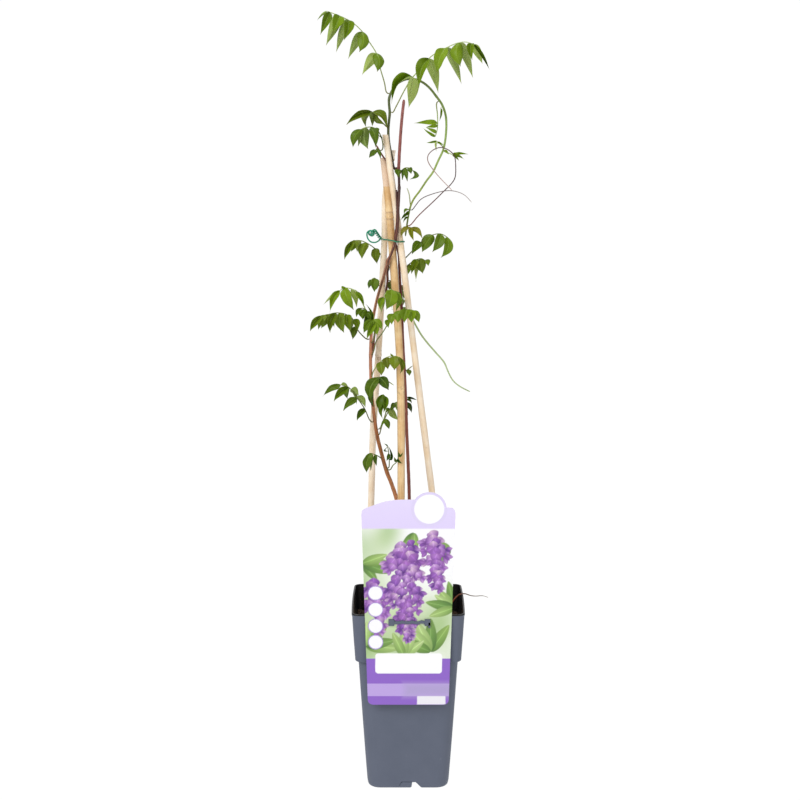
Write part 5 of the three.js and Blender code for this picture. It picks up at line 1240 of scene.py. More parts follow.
# Each leaf: the stem that it grows on, its age from 0, lime green, to 1, dark green, how far it is
# blushed with brown, its rib from near the stem to its end, and its leaflets. A leaflet has its place
# as a share of the rib, its reach to the right, to the back and up from there to its tip, its greatest
# width, and how far its middle is swept sideways.
leaves = {
    "leaf_top_left": {
        "on": "shoot_long",
        "age": 0.42,
        "rib": [
            (-29, 3, 956), (-32, 0, 969), (-37, -4, 986), (-42, -8, 1006), (-52, -12, 1022),
            (-61, -15, 1035), (-73, -18, 1046), (-86, -20, 1053), (-107, -23, 1061),
        ],
        "leaflets": [
            (0.4, 1, -9, -24, 15, 3), (0.4, -19, 9, -28, 14, -1), (0.63, -4, -9, -26, 16, 3),
            (0.63, -19, 10, -35, 13, -1), (0.79, -6, -9, -26, 14, 2), (0.79, -17, 10, -41, 12, -2),
            (0.88, -9, -8, -21, 16, 1), (0.89, -17, 9, -38, 14, 0), (0.97, -13, -6, -29, 12, 0),
            (1, -13, 2, -12, 3, -1),
        ],
    },
    "leaf_top_right": {
        "on": "shoot_long",
        "age": 0.32,
        "rib": [
            (-21, 2, 930), (-17, 0, 937), (-6, -6, 958), (3, -10, 973), (10, -14, 981), (30, -19, 1003),
            (52, -24, 1015), (65, -27, 1020), (75, -30, 1021), (85, -32, 1018),
        ],
        "leaflets": [
            (0.37, -28, -12, -34, 11, -7), (0.37, -5, 5, -40, 16, 0), (0.58, -13, -12, -38, 16, -4),
            (0.58, 13, 7, -44, 15, 2), (0.75, -11, -11, -33, 16, -3), (0.76, 20, 8, -47, 12, 1),
            (0.86, 3, -10, -30, 17, -3), (0.88, 18, 8, -46, 12, 0), (0.98, 1, -8, -21, 10, -2),
            (1, 12, 2, -25, 11, 0), (1, 21, -3, -33, 5, 2),
        ],
    },
    "leaf_cluster_upper": {
        "on": "shoot_long",
        "age": 0.7,
        "blush": 0.1,
        "rib": [(-29, 0, 911), (-32, -3, 914), (-40, -9, 922), (-46, -13, 929), (-50, -16, 932)],
        "leaflets": [
            (1, -32, -4, -18, 10, -6), (0.98, -7, 2, -21, 10, -5), (0.98, 1, 3, -21, 8, 2),
            (0.93, 20, -5, -21, 11, 5), (0.77, 12, -9, -13, 9, -1),
        ],
    },
    "leaf_cluster_middle": {
        "on": "twig_cut",
        "age": 0.72,
        "rib": [
            (-35, -13, 881), (-34, -15, 885), (-35, -18, 894), (-38, -22, 902), (-42, -25, 908),
            (-50, -27, 911), (-58, -29, 910), (-63, -31, 908),
        ],
        "leaflets": [
            (0.33, -7, -3, 5, 2, -2), (0.67, 2, -4, -8, 8, 2), (0.75, 6, -5, -27, 12, 2),
            (0.89, 4, 1, -28, 15, -3), (0.99, -11, -3, -24, 12, -4), (1, -4, 4, -22, 8, 2),
        ],
    },
    "leaf_cluster_lower": {
        "on": "twig_cut",
        "age": 0.8,
        "rib": [(-43, -18, 881), (-46, -21, 880)],
        "leaflets": [(0.63, -9, -3, -11, 8, -2), (0.34, 5, -5, -14, 5, 1)],
    },
    "leaf_curled": {
        "on": "stem_main",
        "age": 0.7,
        "rib": [(-11, -6, 849), (-10, -10, 852), (-5, -17, 857), (2, -22, 857), (6, -25, 854)],
        "leaflets": [
            (0.34, -3, -7, -10, 10, -3), (0.46, -2, -7, -14, 5, 1), (0.55, 3, -6, -17, 7, 1),
            (0.76, 3, -5, -8, 7, 1), (1, -4, -6, -11, 7, 7),
        ],
    },
    "leaf_olive": {
        "on": "shoot_long",
        "age": 0.45,
        "blush": 0.4,
        "rib": [(-1, -12, 778), (4, -16, 778)],
        "leaflets": [
            (0.69, -12, -4, -13, 7, -3), (0.46, -5, -4, 0, 4, -1), (1, 3, -5, -18, 7, 0),
            (1, 14, -3, -14, 8, 4),
        ],
    },
    "leaf_tie_right": {
        "on": "stem_dark",
        "age": 0.45,
        "rib": [
            (-9, 7, 731), (-4, 8, 735), (4, 9, 743), (18, 12, 757), (31, 16, 765), (44, 20, 767),
            (54, 22, 762),
        ],
        "leaflets": [
            (0.49, -12, -6, -16, 12, -2), (0.73, -15, -7, -23, 16, -2), (0.87, -12, -7, -24, 14, 2),
            (0.99, -9, -2, -28, 13, 5),
        ],
    },
    "leaf_tie_left": {
        "on": "stem_main",
        "age": 0.58,
        "blush": 0.08,
        "rib": [
            (-28, 8, 716), (-26, 13, 721), (-30, 22, 731), (-38, 24, 739), (-45, 14, 747), (-56, -3, 756),
            (-65, -9, 760), (-75, -14, 760),
        ],
        "leaflets": [
            (0.54, 4, -5, -21, 13, -2), (0.78, -5, -7, -22, 12, -3), (0.76, -4, 5, -15, 7, 1),
            (0.9, -3, 7, -16, 9, 0), (0.94, -7, -6, -15, 10, -1), (1, -11, -2, -25, 9, -3),
        ],
    },
    "leaf_right_dark": {
        "on": "stem_dark",
        "age": 0.5,
        "blush": 0.08,
        "rib": [(-7, 8, 719), (1, 14, 726), (9, 19, 731), (18, 23, 733), (23, 26, 730)],
        "leaflets": [
            (0.4, -2, -4, -14, 7, 0), (0.69, -7, -6, -19, 10, -2), (0.74, -3, 2, -31, 7, 0),
            (0.85, 2, -6, -20, 15, -2), (0.98, 5, -2, -8, 8, 2),
        ],
    },
    "leaf_crinkled": {
        "on": "stem_main",
        "age": 0.7,
        "rib": [(-41, -4, 698), (-42, -9, 705), (-46, -15, 710), (-50, -19, 708)],
        "leaflets": [(0.37, -1, -3, -10, 7, -2), (0.69, -1, -5, -18, 12, -2), (0.97, -4, -2, -13, 6, -1)],
    },
    "leaf_behind_dark": {
        "on": "stem_main",
        "age": 0.95,
        "blush": 0.2,
        "rib": [(-26, 10, 704), (-23, 8, 704), (-19, 8, 704), (-16, 9, 703)],
        "leaflets": [(0.36, 0, -5, -16, 10, 0), (0.61, 3, -2, -15, 7, 0)],
    },
    "leaf_light": {
        "on": "stem_dark",
        "age": 0.35,
        "rib": [
            (-9, 0, 674), (-9, -7, 680), (-12, -14, 687), (-19, -24, 693), (-26, -30, 696),
            (-34, -35, 686),
        ],
        "leaflets": [
            (0.34, -5, -4, -20, 8, -1), (0.62, 4, -6, -22, 10, 3), (0.71, -6, -6, -27, 19, 2),
            (1, -4, -4, -16, 9, -2), (1, -3, 2, -22, 7, 1), (0.79, 5, 2, -27, 5, 1),
        ],
    },
    "leaf_between_canes": {
        "on": "stem_dark",
        "age": 0.95,
        "rib": [(-7, 6, 698), (-8, 9, 690), (-7, 12, 679), (-8, 15, 667)],
        "leaflets": [
            (0.09, -3, 3, -10, 5, -1), (0.34, 4, 2, -11, 6, 0), (0.67, -2, 2, -11, 6, 0),
            (1, 3, 2, -9, 7, 1),
        ],
    },
    "leaf_left_light": {
        "on": "stem_main",
        "age": 0.2,
        "rib": [
            (-54, 3, 658), (-61, 8, 670), (-68, 13, 683), (-73, 16, 690), (-88, 20, 693), (-94, 22, 689),
        ],
        "leaflets": [
            (0.62, 11, -5, -20, 7, 3), (0.73, 7, 5, -25, 10, 1), (0.89, 13, -7, -29, 15, -1),
            (1, -14, -5, -29, 10, -2), (1, -23, 3, -20, 5, -2), (0.94, 6, -3, 2, 4, 2),
        ],
    },
    "leaf_narrow_left": {
        "on": "stem_main",
        "age": 0.5,
        "rib": [(-48, -9, 645), (-51, -11, 648)],
        "leaflets": [(1, -7, -2, 27, 4, -4)],
    },
    "leaf_left_dark": {
        "on": "stem_main",
        "age": 0.7,
        "rib": [(-51, -5, 646), (-54, -10, 656), (-58, -17, 668), (-64, -22, 670)],
        "leaflets": [
            (0.55, -6, -4, -19, 10, 0), (0.66, 6, -5, -12, 10, 3), (0.79, -3, -5, -14, 12, -3),
            (1, -6, -3, -12, 7, -3),
        ],
    },
    "leaf_left_large": {
        "on": "stem_main",
        "age": 0.62,
        "blush": 0.06,
        "rib": [
            (-56, -3, 625), (-61, -6, 629), (-69, -10, 639), (-72, -14, 649), (-78, -18, 657),
            (-86, -22, 662), (-98, -27, 664), (-109, -31, 662), (-118, -34, 661),
        ],
        "leaflets": [
            (0.33, -5, -5, -18, 9, -1), (0.46, 6, -6, -16, 10, 2), (0.55, 2, 3, -25, 10, 2),
            (0.59, 5, -7, -21, 13, -2), (0.69, 5, -8, -26, 14, -4), (0.69, 0, 4, -25, 10, 0),
            (0.77, -7, -6, -26, 12, -4), (0.79, 0, 5, -20, 8, -1), (0.87, -11, -3, -19, 10, 0),
            (0.92, -10, -6, -20, 10, -3), (0.99, -15, -2, -21, 10, -3),
        ],
    },
    "leaf_front": {
        "on": "stem_main",
        "age": 0.35,
        "rib": [(-50, -4, 620), (-46, -9, 628), (-47, -17, 642), (-48, -23, 654)],
        "leaflets": [
            (0.92, -8, -5, -22, 10, -2), (0.95, 5, -7, -18, 12, 1), (0.99, -12, -6, -18, 12, -4),
            (1, 12, -3, -13, 10, 3),
        ],
    },
    "leaf_across": {
        "on": "stem_main",
        "age": 0.4,
        "rib": [
            (-50, -3, 603), (-47, -9, 610), (-44, -15, 623), (-36, -22, 635), (-29, -30, 647),
            (-22, -35, 660), (-10, -39, 669), (1, -41, 670), (7, -42, 669),
        ],
        "leaflets": [
            (0.64, -2, -5, -11, 8, -2), (0.74, -4, -5, -14, 12, -3), (0.83, -4, -6, -16, 13, -2),
            (0.91, -3, -7, -17, 14, -1), (0.96, 1, -5, -17, 14, 1), (1, 7, -3, -16, 10, 1),
        ],
    },
    "leaf_arc": {
        "on": "stem_main",
        "age": 0.6,
        "blush": 0.15,
        "rib": [
            (-50, -2, 572), (-48, -8, 581), (-42, -16, 591), (-34, -23, 600), (-26, -29, 605),
            (-18, -33, 606), (-12, -35, 605),
        ],
        "leaflets": [
            (0.51, 1, -5, -18, 13, 1), (0.71, 1, -5, -16, 12, 0), (0.89, 0, -7, -18, 16, 1),
            (1, 0, -2, -23, 8, 5), (0.86, -4, -1, 4, 3, 0),
        ],
    },
    "leaf_small_right": {
        "on": "stem_dark",
        "age": 0.5,
        "rib": [(-3, -1, 581), (0, 2, 583), (6, 6, 587)],
        "leaflets": [(0.32, 3, -3, -8, 7, 1)],
    },
    "leaf_folded": {
        "on": "stem_main",
        "age": 0.8,
        "rib": [(-49, -4, 556), (-46, -10, 566), (-41, -17, 575), (-33, -20, 573), (-20, -24, 565)],
        "leaflets": [(0.51, -10, -6, -33, 16, -5), (0.07, 0, -6, -25, 9, -2), (0.56, 12, -5, -17, 14, 2)],
    },
    "leaf_lower_left": {
        "on": "stem_main",
        "age": 0.65,
        "rib": [
            (-49, -5, 510), (-53, -8, 514), (-59, -13, 529), (-66, -17, 541), (-72, -20, 549),
            (-81, -24, 562), (-92, -27, 566),
        ],
        "leaflets": [
            (0.35, -10, -5, -16, 9, -3), (0.62, 13, 2, -15, 9, 3), (0.6, -18, -6, -17, 11, -4),
            (0.79, 11, 2, -9, 10, 1), (0.73, 5, 9, -19, 6, 1), (0.86, -19, -6, -19, 11, -4),
            (0.87, 0, 3, -17, 8, -2), (0.99, 11, 5, -8, 5, 2), (1, -24, -2, -16, 9, -4),
        ],
    },
    "leaf_middle": {
        "on": "stem_main",
        "age": 0.65,
        "rib": [
            (-40, -7, 493), (-37, -14, 504), (-33, -21, 518), (-30, -28, 533), (-32, -33, 548),
            (-34, -35, 554),
        ],
        "leaflets": [
            (0.43, -6, -4, -11, 4, 0), (0.84, -2, -6, -25, 7, -7), (0.97, 0, -6, -22, 8, 1),
            (1, -5, -4, -23, 11, -4),
        ],
    },
    "leaf_front_twig": {
        "on": "stem_main",
        "age": 0.6,
        "rib": [(-39, -3, 501), (-33, 4, 512), (-27, 13, 523), (-20, 19, 532), (-16, 22, 534)],
        "leaflets": [
            (0.38, 6, -5, -14, 8, 1), (0.72, 12, 3, -17, 10, -1), (0.71, -5, -4, -5, 5, -2),
            (0.93, -5, -5, -10, 7, -1), (1, 2, 3, -15, 6, 0),
        ],
    },
    "leaf_behind_middle": {
        "on": "stem_dark",
        "age": 0.85,
        "rib": [(-1, 3, 518), (-2, 8, 534), (-2, 12, 542)],
        "leaflets": [
            (0.75, 7, -2, -15, 7, 1), (0.8, -3, 3, -19, 6, 0), (0.91, 7, -3, -6, 4, 2),
            (1, 15, -2, -4, 3, 1),
        ],
    },
    "leaf_low_left": {
        "on": "stem_main",
        "age": 0.8,
        "rib": [(-37, -12, 461), (-40, -15, 464), (-46, -20, 468), (-52, -25, 471)],
        "leaflets": [(0.62, 3, -4, -16, 6, -2), (0.87, -2, 3, -24, 6, 1), (1, -4, -2, -28, 13, -4)],
    },
    "leaf_low_small": {
        "on": "stem_main",
        "age": 0.9,
        "rib": [(-27, -15, 448), (-26, -20, 458), (-27, -26, 473), (-28, -29, 481)],
        "leaflets": [
            (0.49, -1, -7, 19, 4, -4), (0.82, -1, -4, 6, 3, 5), (0.72, -3, -4, -10, 5, 0),
            (1, -6, -3, 5, 2, -1),
        ],
    },
    "leaf_low_twig": {
        "on": "stem_main",
        "age": 0.85,
        "rib": [(-25, -17, 446), (-21, -26, 454), (-15, -36, 462), (-13, -39, 470)],
        "leaflets": [
            (0.79, -4, -4, 7, 4, 1), (0.97, -1, -4, 8, 4, -1), (0.99, 6, -3, 6, 3, -1),
            (0.92, 6, -4, -7, 4, -1),
        ],
    },
    "leaf_young": {
        "on": "shoot_long",
        "age": 0.0,
        "blush": 0.0,
        "rib": [(38, 13, 943), (39, 11, 927), (39, 8, 909), (36, 6, 898)],
        "leaflets": [
            (0.62, -31, -8, 0, 7, -1), (0.69, -16, -4, -2, 5, 0), (0.88, -14, -7, 7, 5, 0),
            (1, -17, -5, 12, 4, 1),
        ],
    },
    "leaf_bud_blade": {
        "on": "shoot_long",
        "age": 0.05,
        "rib": [(43, 10, 936)],
        "leaflets": [(1, -1, -2, -17, 3, 0)],
    },
    "leaf_young_left": {
        "on": "shoot_long",
        "age": 0.12,
        "rib": [(46, 4, 885), (42, 1, 889), (37, -2, 893)],
        "leaflets": [(0.79, 8, -5, -5, 3, 2), (1, -13, -2, -3, 3, 0), (0.97, 0, 3, -14, 3, 0)],
    },
    "leaf_young_right": {
        "on": "shoot_long",
        "age": 0.12,
        "rib": [(49, 5, 879), (53, 2, 877), (60, -2, 874)],
        "leaflets": [
            (0.04, 6, -4, -5, 4, 1), (1, 20, -4, 1, 4, 1), (1, 15, -2, -6, 4, 1), (1, 8, -5, -8, 4, 1),
            (1, 8, -6, 2, 4, 1),
        ],
    },
    "leaf_buds": {
        "on": "shoot_long",
        "age": 0.6,
        "rib": [(1, -10, 803), (1, -11, 797), (0, -12, 792)],
        "leaflets": [
            (0.33, -7, -3, -7, 4, -3), (0.52, -6, -2, -8, 4, -1), (0.7, -11, -3, -9, 4, -2),
            (1, -7, -3, -8, 3, -2),
        ],
    },
}
YOUNG_STALK = ["#7c7a42", "#9cae62", "#b0c07c", "#b4c486"]  # from foot to tip
RIPE_STALK = ["#5f5a2c", "#66722f", "#76843a", "#84923f"]
SLENDER = 2.3  # from this length per width a blade is of a slender kind
SLENDER_KINDS = (2, 4, 6)
FULL_KINDS = (0, 1, 2, 3)
AGE_SPREAD = 0.16  # how far one leaflet differs in age from its leaf
RIB_PULL = 0.6  # how far a blade's width turns from the front view toward the direction of the rib
BRIGHT_LEAVES = {
    "leaf_arc", "leaf_bud_blade", "leaf_left_light", "leaf_light", "leaf_top_left", "leaf_top_right",
    "leaf_young", "leaf_young_left", "leaf_young_right",
}


def leaflet_turn(forward, sideways, along):
    """The turn that lays a blade along its reach, its upper face outward and its width toward the rib."""
    pull = along - along.dot(forward) * forward
    across = (sideways + pull * math.copysign(RIB_PULL, pull.dot(sideways))).normalized()
    up = forward.cross(across)
    if up.y * forward.y < 0:
        across, up = -across, -up
    return Matrix((-across, forward, up)).transposed().to_euler()


for number, (name, each) in enumerate(leaves.items()):
    draw = random.Random(number)
    path = [foot_on(each["on"], each["rib"][0], STALK_RADIUS), *each["rib"]]
    stalk_tints = YOUNG_STALK if name in BRIGHT_LEAVES else RIPE_STALK
    line, girths, tints = rod_line(path, [STALK_RADIUS, STALK_RADIUS * 0.7], stalk_tints, (), STALK_STEP)
    spots, turns, reaches, spreads, bends, kinds, ages = [], [], [], [], [], [], []
    for share, x, y, z, width, bend in each["leaflets"]:
        place = share * (len(line) - 1)
        before = min(int(place), len(line) - 2)
        spots.append(line[before] + (line[before + 1] - line[before]) * (place - before))
        reach = Vector((x, y, z))
        forward = reach.normalized()
        sideways = Vector((0, -1, 0)).cross(forward).normalized()
        along = Vector(line[before + 1] - line[before]).normalized()
        turns.append(tuple(leaflet_turn(forward, sideways, along)))
        bends.append(tuple(sideways * bend * MM))
        reaches.append(reach.length * MM)
        spreads.append(width / 2 * MM)
        slender = reach.length > SLENDER * width
        kinds.append(draw.choice(SLENDER_KINDS if slender else FULL_KINDS))
        ages.append(min(1, max(0, each["age"] + draw.uniform(-1, 1) * AGE_SPREAD)))
    piece = skeleton(name + "_blades", [(line, girths, tints)], spots)
    bare = len(line)
    paint(piece, "turn", [(0, 0, 0)] * bare + turns, "FLOAT_VECTOR")
    paint(piece, "bend", [(0, 0, 0)] * bare + bends, "FLOAT_VECTOR")
    paint(piece, "reach", [0.0] * bare + reaches)
    paint(piece, "spread", [0.0] * bare + spreads)
    paint(piece, "kind", [0] * bare + kinds, "INT")
    paint(piece, "age", [each["age"]] * bare + ages)
    paint(piece, "blush", [each.get("blush", 0.0)] * (bare + len(ages)))
    grown(piece, leaf_tree, Blades=blade_kinds, Step=STALK_STEP * MM, Sides=8, Seed=number,
          Upper=upper_skin, Under=under_skin, Stalk=new_growth)
    piece.data.shade_smooth()
    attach(piece, "root")
    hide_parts(name)
for kind in list(blade_kinds.objects):
    bpy.data.objects.remove(kind)
bpy.data.collections.remove(blade_kinds)

# ---- Tie ----
# One length of soft green plastic-coated wire: a band drawn tight round canes and stems, a twisted
# knot at its left, and two loose ends that curl up beside it.

TIE_HEIGHT = 760
WIRE_RADIUS = 1.0
WIRE_STEP = 1.2  # between the rings of the wire
BAND_STEPS = 60
BAND_FROM = math.pi * 1.02  # the band starts at its left, just in front
BAND_ROUND = math.tau * 0.985  # and stops just short of its start
TWIST_STEPS = 24
TWIST_TURNS = 2.5
TWIST_RADIUS = 1.5
TWIST_RISE = 1.4


def at_height(path, height):
    """The point where a path reaches a height."""
    line, _ = smooth_path(path, 1.0)
    return np.array([np.interp(height, line[:, 2], line[:, 0]), np.interp(height, line[:, 2], line[:, 1])])


bundle = [(at_height(each["path"], TIE_HEIGHT), each["radii"][1]) for each in canes.values()]
for name in ("stem_main", "stem_dark"):
    rod = stems[name]["rods"][0]
    bundle.append((at_height(rod["path"], TIE_HEIGHT), max(rod["radii"][4:])))
band = []
for step in range(BAND_STEPS + 1):
    angle = BAND_FROM + BAND_ROUND * step / BAND_STEPS
    out = np.array([math.cos(angle), math.sin(angle)])
    centre, radius = max(bundle, key=lambda rod: rod[0] @ out + rod[1])
    x, y = centre + out * (radius + WIRE_RADIUS + 0.5)
    band.append((x, y, TIE_HEIGHT + 0.8 - 2.4 * (math.cos(angle) + 1) / 2))
knot_foot, knot_head = np.array(band[0]), np.array([-46, 8, 773])
twist = []
for phase in (0, math.pi):
    strand = []
    for step in range(TWIST_STEPS + 1):
        share = step / TWIST_STEPS
        angle = phase + share * math.tau * TWIST_TURNS
        x, y, z = knot_foot + (knot_head - knot_foot) * share
        cos, sin = math.cos(angle), math.sin(angle)
        strand.append((x + TWIST_RADIUS * cos, y + TWIST_RADIUS * sin, z + TWIST_RISE * sin))
    twist.append(strand)
big_loop = [
    tuple(knot_foot), (-40, 3, 759), (-45, -3, 757), (-51, -4, 758), (-55, -4, 763), (-56, -3, 769),
    (-54.5, -1, 771.5), (-51, 0, 773), (-48, 1, 771), (-48.5, 1, 768), (-51.5, 0, 767.5), (-53.5, -2, 770),
    (-51.5, -3.5, 773), (-48.5, -3, 771), (-47, -2, 767.5),
]
small_loop = [
    (-52.5, -1, 772), (-54, 0.5, 769), (-52, 1.5, 766.5), (-48.5, 1, 765.5), (-46, 2, 769),
    (-47.5, 0, 773.5), (-50.5, -2, 770.5), (-49.5, -2.5, 766.5),
]
wires = [band, *twist, big_loop, small_loop]

# Soft PVC over thin steel wire: saturated green with a soft shine.
soft_pvc, tree, shader = new_material("soft green PVC coating", Roughness=0.38, IOR=1.53)
place = add_node(tree, "ShaderNodeTexCoord", output="Object")
cloud = noise(tree, place, 6, 3)
tint = stored(tree, "tint", "Color")
varied = ramp(tree, cloud, 0.35, 0.65, 0.35)
green = mix(tree, varied, tint, "#0e7a56")
tree.links.new(green, shader.inputs["Base Color"])
raised(tree, shader, cloud, 0.2, 0.4)

tints = ["#2f7a58", *["#1f9674"] * (len(wires) - 1)]  # the band is duller than the loose ends
lines = [rod_line(wire, [WIRE_RADIUS] * 2, [tint] * 2, (), WIRE_STEP) for wire, tint in zip(wires, tints)]
piece = skeleton("wire_tie", lines)
grown(piece, rods, Step=WIRE_STEP * MM, Sides=10, Unevenness=0.0, Seed=1, Skin=soft_pvc)
piece.data.shade_smooth()
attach(piece, "root")
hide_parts("tie")

# ---- Label ----
# A thin card of white polypropylene, cut to an arched top with a round tab, hung on the strap and
# printed on its front with hanging flower clusters over leaves. Where a label carries words and signs,
# this one has blank panels and blank round badges.

CARD_BACK = -77.6
CARD_FRONT = -78.4
CARD_BOTTOM = 130.3
CARD_SHOULDER = 403
CARD_TOP = 418
CARD_FOOT_HALF = 55.25
CARD_SHOULDER_HALF = 63.5
TAB = (28, 405)  # the round tab's centre, across and up
TAB_RADIUS = 23.5
CARD_CORNER = 7
# The top's outline: at these heights the left side reaches so far out, and the right side steps in.
ARCH_HEIGHTS = (398, 403, 406, 410, 413.5, 416, 417.4, 418)
ARCH_REACH = (47.5, 38.5, 29, 20, 10)  # from the fourth height up
SHOULDER_HEIGHTS = (399, 403, 405.5, 407, 407.6)
PRINT_STEP = 0.85  # the print's points stand this far apart
PRINT_COLUMNS = 150


def card_edges(z):
    """How far left and right the card reaches at a height."""
    share = min(1, (z - CARD_BOTTOM) / (CARD_SHOULDER - CARD_BOTTOM))
    side = CARD_FOOT_HALF + (CARD_SHOULDER_HALF - CARD_FOOT_HALF) * share
    drop = max(0, CARD_BOTTOM + CARD_CORNER - z)
    side -= CARD_CORNER - math.sqrt(max(0, CARD_CORNER**2 - drop**2))
    arch = np.interp(z, ARCH_HEIGHTS, [side, side - 1, side - 5, *ARCH_REACH])
    shoulder = np.interp(z, SHOULDER_HEIGHTS, [side, side - 1, side - 2.6, side - 5, 0])
    rise = abs(z - TAB[1])
    tab = math.sqrt(max(0, TAB_RADIUS**2 - rise**2)) if z > CARD_SHOULDER else 0
    left = -arch if z <= CARD_TOP else TAB[0] - tab
    return left, max(shoulder, TAB[0] + tab if tab else 0)


row_heights = np.arange(CARD_BOTTOM, TAB[1] + TAB_RADIUS, PRINT_STEP)
jumps = [*SHOULDER_HEIGHTS[-2:], CARD_TOP, CARD_TOP + 0.1, TAB[1] + TAB_RADIUS - 0.03]
row_heights = np.union1d(row_heights, jumps)
edges = np.array([card_edges(z) for z in row_heights])
columns = np.linspace(0, 1, PRINT_COLUMNS + 1)
print_x = edges[:, :1] + (edges[:, 1:] - edges[:, :1]) * columns
print_z = np.repeat(row_heights[:, None], len(columns), 1)


def screen_colour(colour):
    """A hex colour as three shares."""
    return np.array([int(colour[i : i + 2], 16) / 255 for i in (1, 3, 5)])


ink = np.ones((*print_x.shape, 3)) * screen_colour("#fbfbfd")


def lay(distance, colour, soft=0.5, window=(slice(None), slice(None))):
    """Prints a colour wherever the distance to the shape's edge is positive, in millimetres."""
    share = np.clip(distance / soft + 0.5, 0, 1)[..., None]
    ink[window] = ink[window] * (1 - share) + colour * share


def panel(left, right, bottom, top, corner):
    """The distance inside a rounded panel's edge."""
    across = np.abs(print_x - (left + right) / 2) - (right - left) / 2 + corner
    up = np.abs(print_z - (bottom + top) / 2) - (top - bottom) / 2 + corner
    outside = np.hypot(np.maximum(across, 0), np.maximum(up, 0))
    return corner - outside - np.minimum(np.maximum(across, up), 0)


def petal(x, z, angle, length, width, foot, tip, blunt=0.6, vein=0.0):
    """Prints one petal or leaf from its foot outwards, shaded along its length and towards its edges."""
    near_rows = np.abs(row_heights - z) < length + 1
    if not near_rows.any():
        return
    rows = slice(near_rows.argmax(), len(near_rows) - near_rows[::-1].argmax())
    window = (rows, slice(None))
    right, up = print_x[window] - x, print_z[window] - z
    along = (right * math.cos(angle) + up * math.sin(angle)) / length
    across = -right * math.sin(angle) + up * math.cos(angle)
    half = width / 2 * np.sin(np.pi * np.clip(along, 0, 1) ** blunt) ** 0.7
    inside = half - np.abs(across)
    inside[(along <= 0) | (along >= 1)] = -9
    shade = np.clip(along, 0, 1)[..., None]
    colour = foot * (1 - shade) + tip * shade
    rim = np.clip(1 - inside / (width / 2), 0, 1)[..., None]
    colour = colour * (1.06 - 0.16 * rim) + vein * np.exp(-((across / 0.5) ** 2))[..., None]
    lay(inside, np.clip(colour, 0, 1), 0.8, window)


# The field behind the flowers: white, fading to a blur of green low down and on the left.
ART_BOTTOM, ART_TOP = 196, 378
FIELD_INKS = ["#a9c786", "#c9dcae", "#8fb56a", "#e6eed8"]
draw = random.Random(11)
for _ in range(46):
    x, z = draw.uniform(-70, 70), draw.uniform(ART_BOTTOM - 10, ART_TOP)
    if z > 300 and x > -10:
        continue
    size = draw.uniform(14, 30)
    share = 0.5 * np.exp(-((print_x - x) ** 2 + (print_z - z) ** 2) / size**2)[..., None]
    ink = ink * (1 - share) + screen_colour(draw.choice(FIELD_INKS)) * share

# Long pointed leaves, in fans that spread from stalks.
LEAF_INKS = [("#5f8a3a", "#9dbf62"), ("#7ba24c", "#b3cf80"), ("#4f7a35", "#86ad55"), ("#8db35c", "#c3db94")]
for x, z, lean, count, size in (
    (-58, 214, 0.7, 5, 44), (30, 206, 1.9, 5, 46), (62, 268, 2.6, 5, 40), (-6, 200, 1.3, 4, 40),
    (-62, 330, -0.2, 4, 38), (56, 352, 3.5, 4, 34), (8, 372, 4.4, 3, 30),
):
    for i in range(count):
        dark, light = (screen_colour(c) for c in draw.choice(LEAF_INKS))
        angle = lean + (i - (count - 1) / 2) * 0.42 + draw.uniform(-0.1, 0.1)
        length = size * draw.uniform(0.8, 1.1)
        petal(x, z, angle, length, length * 0.36, dark, light, 0.75, 0.1)

# Three hanging clusters: florets packed round an axis that narrows downwards, each with a pale
# standing petal, two wings and a dark keel.
PETAL_INKS = ["#cf9ee0", "#bd84d4", "#b072c6", "#dfb6ea", "#a568c6", "#e6c8e0"]
DEEP_INKS = ["#7b449c", "#673590", "#8f56ae"]
for top_x, top_z, end_x, end_z, half_width, florets in (
    (34, 366, 40, 292, 17, 34), (-46, 300, -40, 232, 17, 32), (-8, 352, -2, 222, 27, 84),
):
    for i in range(florets):
        share = i / florets
        reach = half_width * math.sin(math.pi * (0.12 + 0.86 * share)) ** 0.6 * (1.1 - 0.6 * share)
        side = draw.uniform(-1, 1)
        x = top_x + (end_x - top_x) * share + reach * side
        z = top_z + (end_z - top_z) * share + draw.uniform(-3, 3)
        size = draw.uniform(0.75, 1.1) * (1.15 - 0.45 * share)
        face = -math.pi / 2 + side * 1.1 + draw.uniform(-0.4, 0.4)
        pale, deep = screen_colour(draw.choice(PETAL_INKS)), screen_colour(draw.choice(DEEP_INKS))
        petal(x, z, face + math.pi, 11 * size, 14 * size, deep, pale, 0.9, 0.08)
        for wing in (-0.55, 0.55):
            petal(x, z, face + wing, 11.5 * size, 7 * size, deep, pale * 0.93, 0.8, 0.05)
        petal(x, z, face, 9 * size, 4 * size, deep * 0.85, deep * 1.2, 0.8)

# Plain panels: a lilac head, a purple foot with a paler strip, a white box, a white patch, and four
# blank round badges down the left side. The round tab is white inside a lilac ring.
STRIP_BOTTOM, STRIP_TOP = 142.5, 160.5
BOX = (-45, 46, 175, 203.5, 4)  # left, right, bottom, top and the corners' radius
PATCH = (12, 51, 130.5, 142.5, 1)
BADGE_ACROSS = -44.5
BADGE_HEIGHTS = (288.4, 265.3, 242.1, 219.5)
BADGE_RADIUS = 9.3
BADGE_RING = 1.1
TAB_RING = 3.4
lay(print_z - ART_TOP, screen_colour("#e1d4fa"), 1.5)
paler = 0.25 * np.clip((print_z - ART_TOP) / 40, 0, 1)[..., None]
ink = ink * (1 - paler) + screen_colour("#f1eafe") * paler
lay(ART_BOTTOM - print_z, screen_colour("#8e62c8"), 0.4)
strip = np.minimum(STRIP_TOP - print_z, print_z - STRIP_BOTTOM)
lay(strip, screen_colour("#bda3e2"), 0.4)
lay(np.minimum(strip, print_x + 5), screen_colour("#b19fd2"), 12)
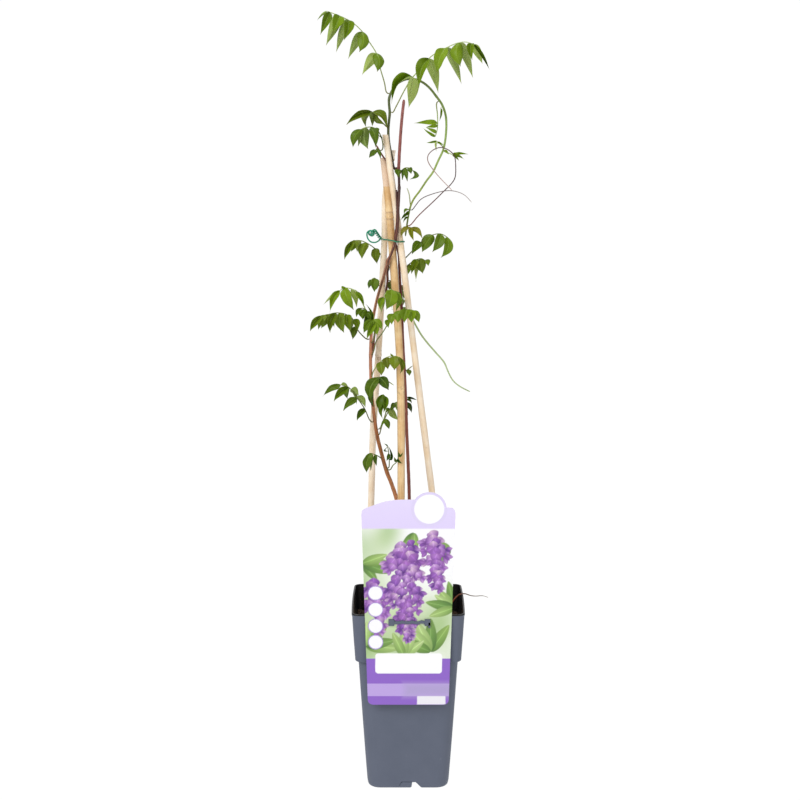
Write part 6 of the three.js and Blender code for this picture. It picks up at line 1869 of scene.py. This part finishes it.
lay(panel(*BOX), screen_colour("#fdfdfe"))
lay(panel(*PATCH), screen_colour("#eeecf3"))
for z in BADGE_HEIGHTS:
    from_middle = np.hypot(print_x - BADGE_ACROSS, print_z - z)
    lay(BADGE_RADIUS + BADGE_RING - from_middle, screen_colour("#a98bd6"), 0.4)
    lay(BADGE_RADIUS - from_middle, screen_colour("#fbfafd"), 0.4)
from_middle = np.hypot(print_x - TAB[0], print_z - TAB[1])
lay(TAB_RADIUS + 1 - from_middle, screen_colour("#dfd4f6"), 0.5)
lay(TAB_RADIUS - TAB_RING - from_middle, screen_colour("#fdfdff"), 0.6)

# The card's mesh: the printed face, a plain back, and the cut edge between them.
rows, width = print_x.shape
front = [(x, CARD_FRONT, z) for x, z in zip(print_x.ravel(), print_z.ravel())]
rim = [row * width for row in range(rows)] + list(range((rows - 1) * width + 1, rows * width))
rim += [row * width + width - 1 for row in range(rows - 2, -1, -1)] + list(range(width - 2, 0, -1))
back = [(front[i][0], CARD_BACK, front[i][2]) for i in rim]
faces = [
    (r * width + c, r * width + c + 1, (r + 1) * width + c + 1, (r + 1) * width + c)
    for r in range(rows - 1)
    for c in range(width - 1)
]
shift = len(front)
around = len(rim)
faces += [(rim[i], rim[(i + 1) % around], shift + (i + 1) % around, shift + i) for i in range(around)]
faces.append(tuple(shift + i for i in range(around)))

# Offset-printed white polypropylene: ink under a thin clear varnish, with a soft even gloss.
printed, tree, shader = new_material("printed polypropylene card", Roughness=0.34, IOR=1.49)
colour = stored(tree, "ink", "Color")
tree.links.new(colour, shader.inputs["Base Color"])
place = add_node(tree, "ShaderNodeTexCoord", output="Object")
cloud = noise(tree, place, 40, 3)
gloss = ramp(tree, cloud, 0, 1, 0.42, 0.28)
tree.links.new(gloss, shader.inputs["Roughness"])
bare_card, _, _ = new_material("bare polypropylene card", Base_Color=linear("#f3f1f6"), Roughness=0.45)

card = new_piece("hanging_label", front + back, faces, printed, bare_card)
shares = ink.reshape(-1, 3)
shares = np.where(shares <= 0.04045, shares / 12.92, ((shares + 0.055) / 1.055) ** 2.4)
tints = np.ones((len(front) + len(back), 4))
tints[: len(front), :3] = shares
paint(card, "ink", tints, "FLOAT_COLOR")
for face in card.data.polygons:
    if face.index >= (rows - 1) * (width - 1):
        face.material_index = 1
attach(card, "root")
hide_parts("label")
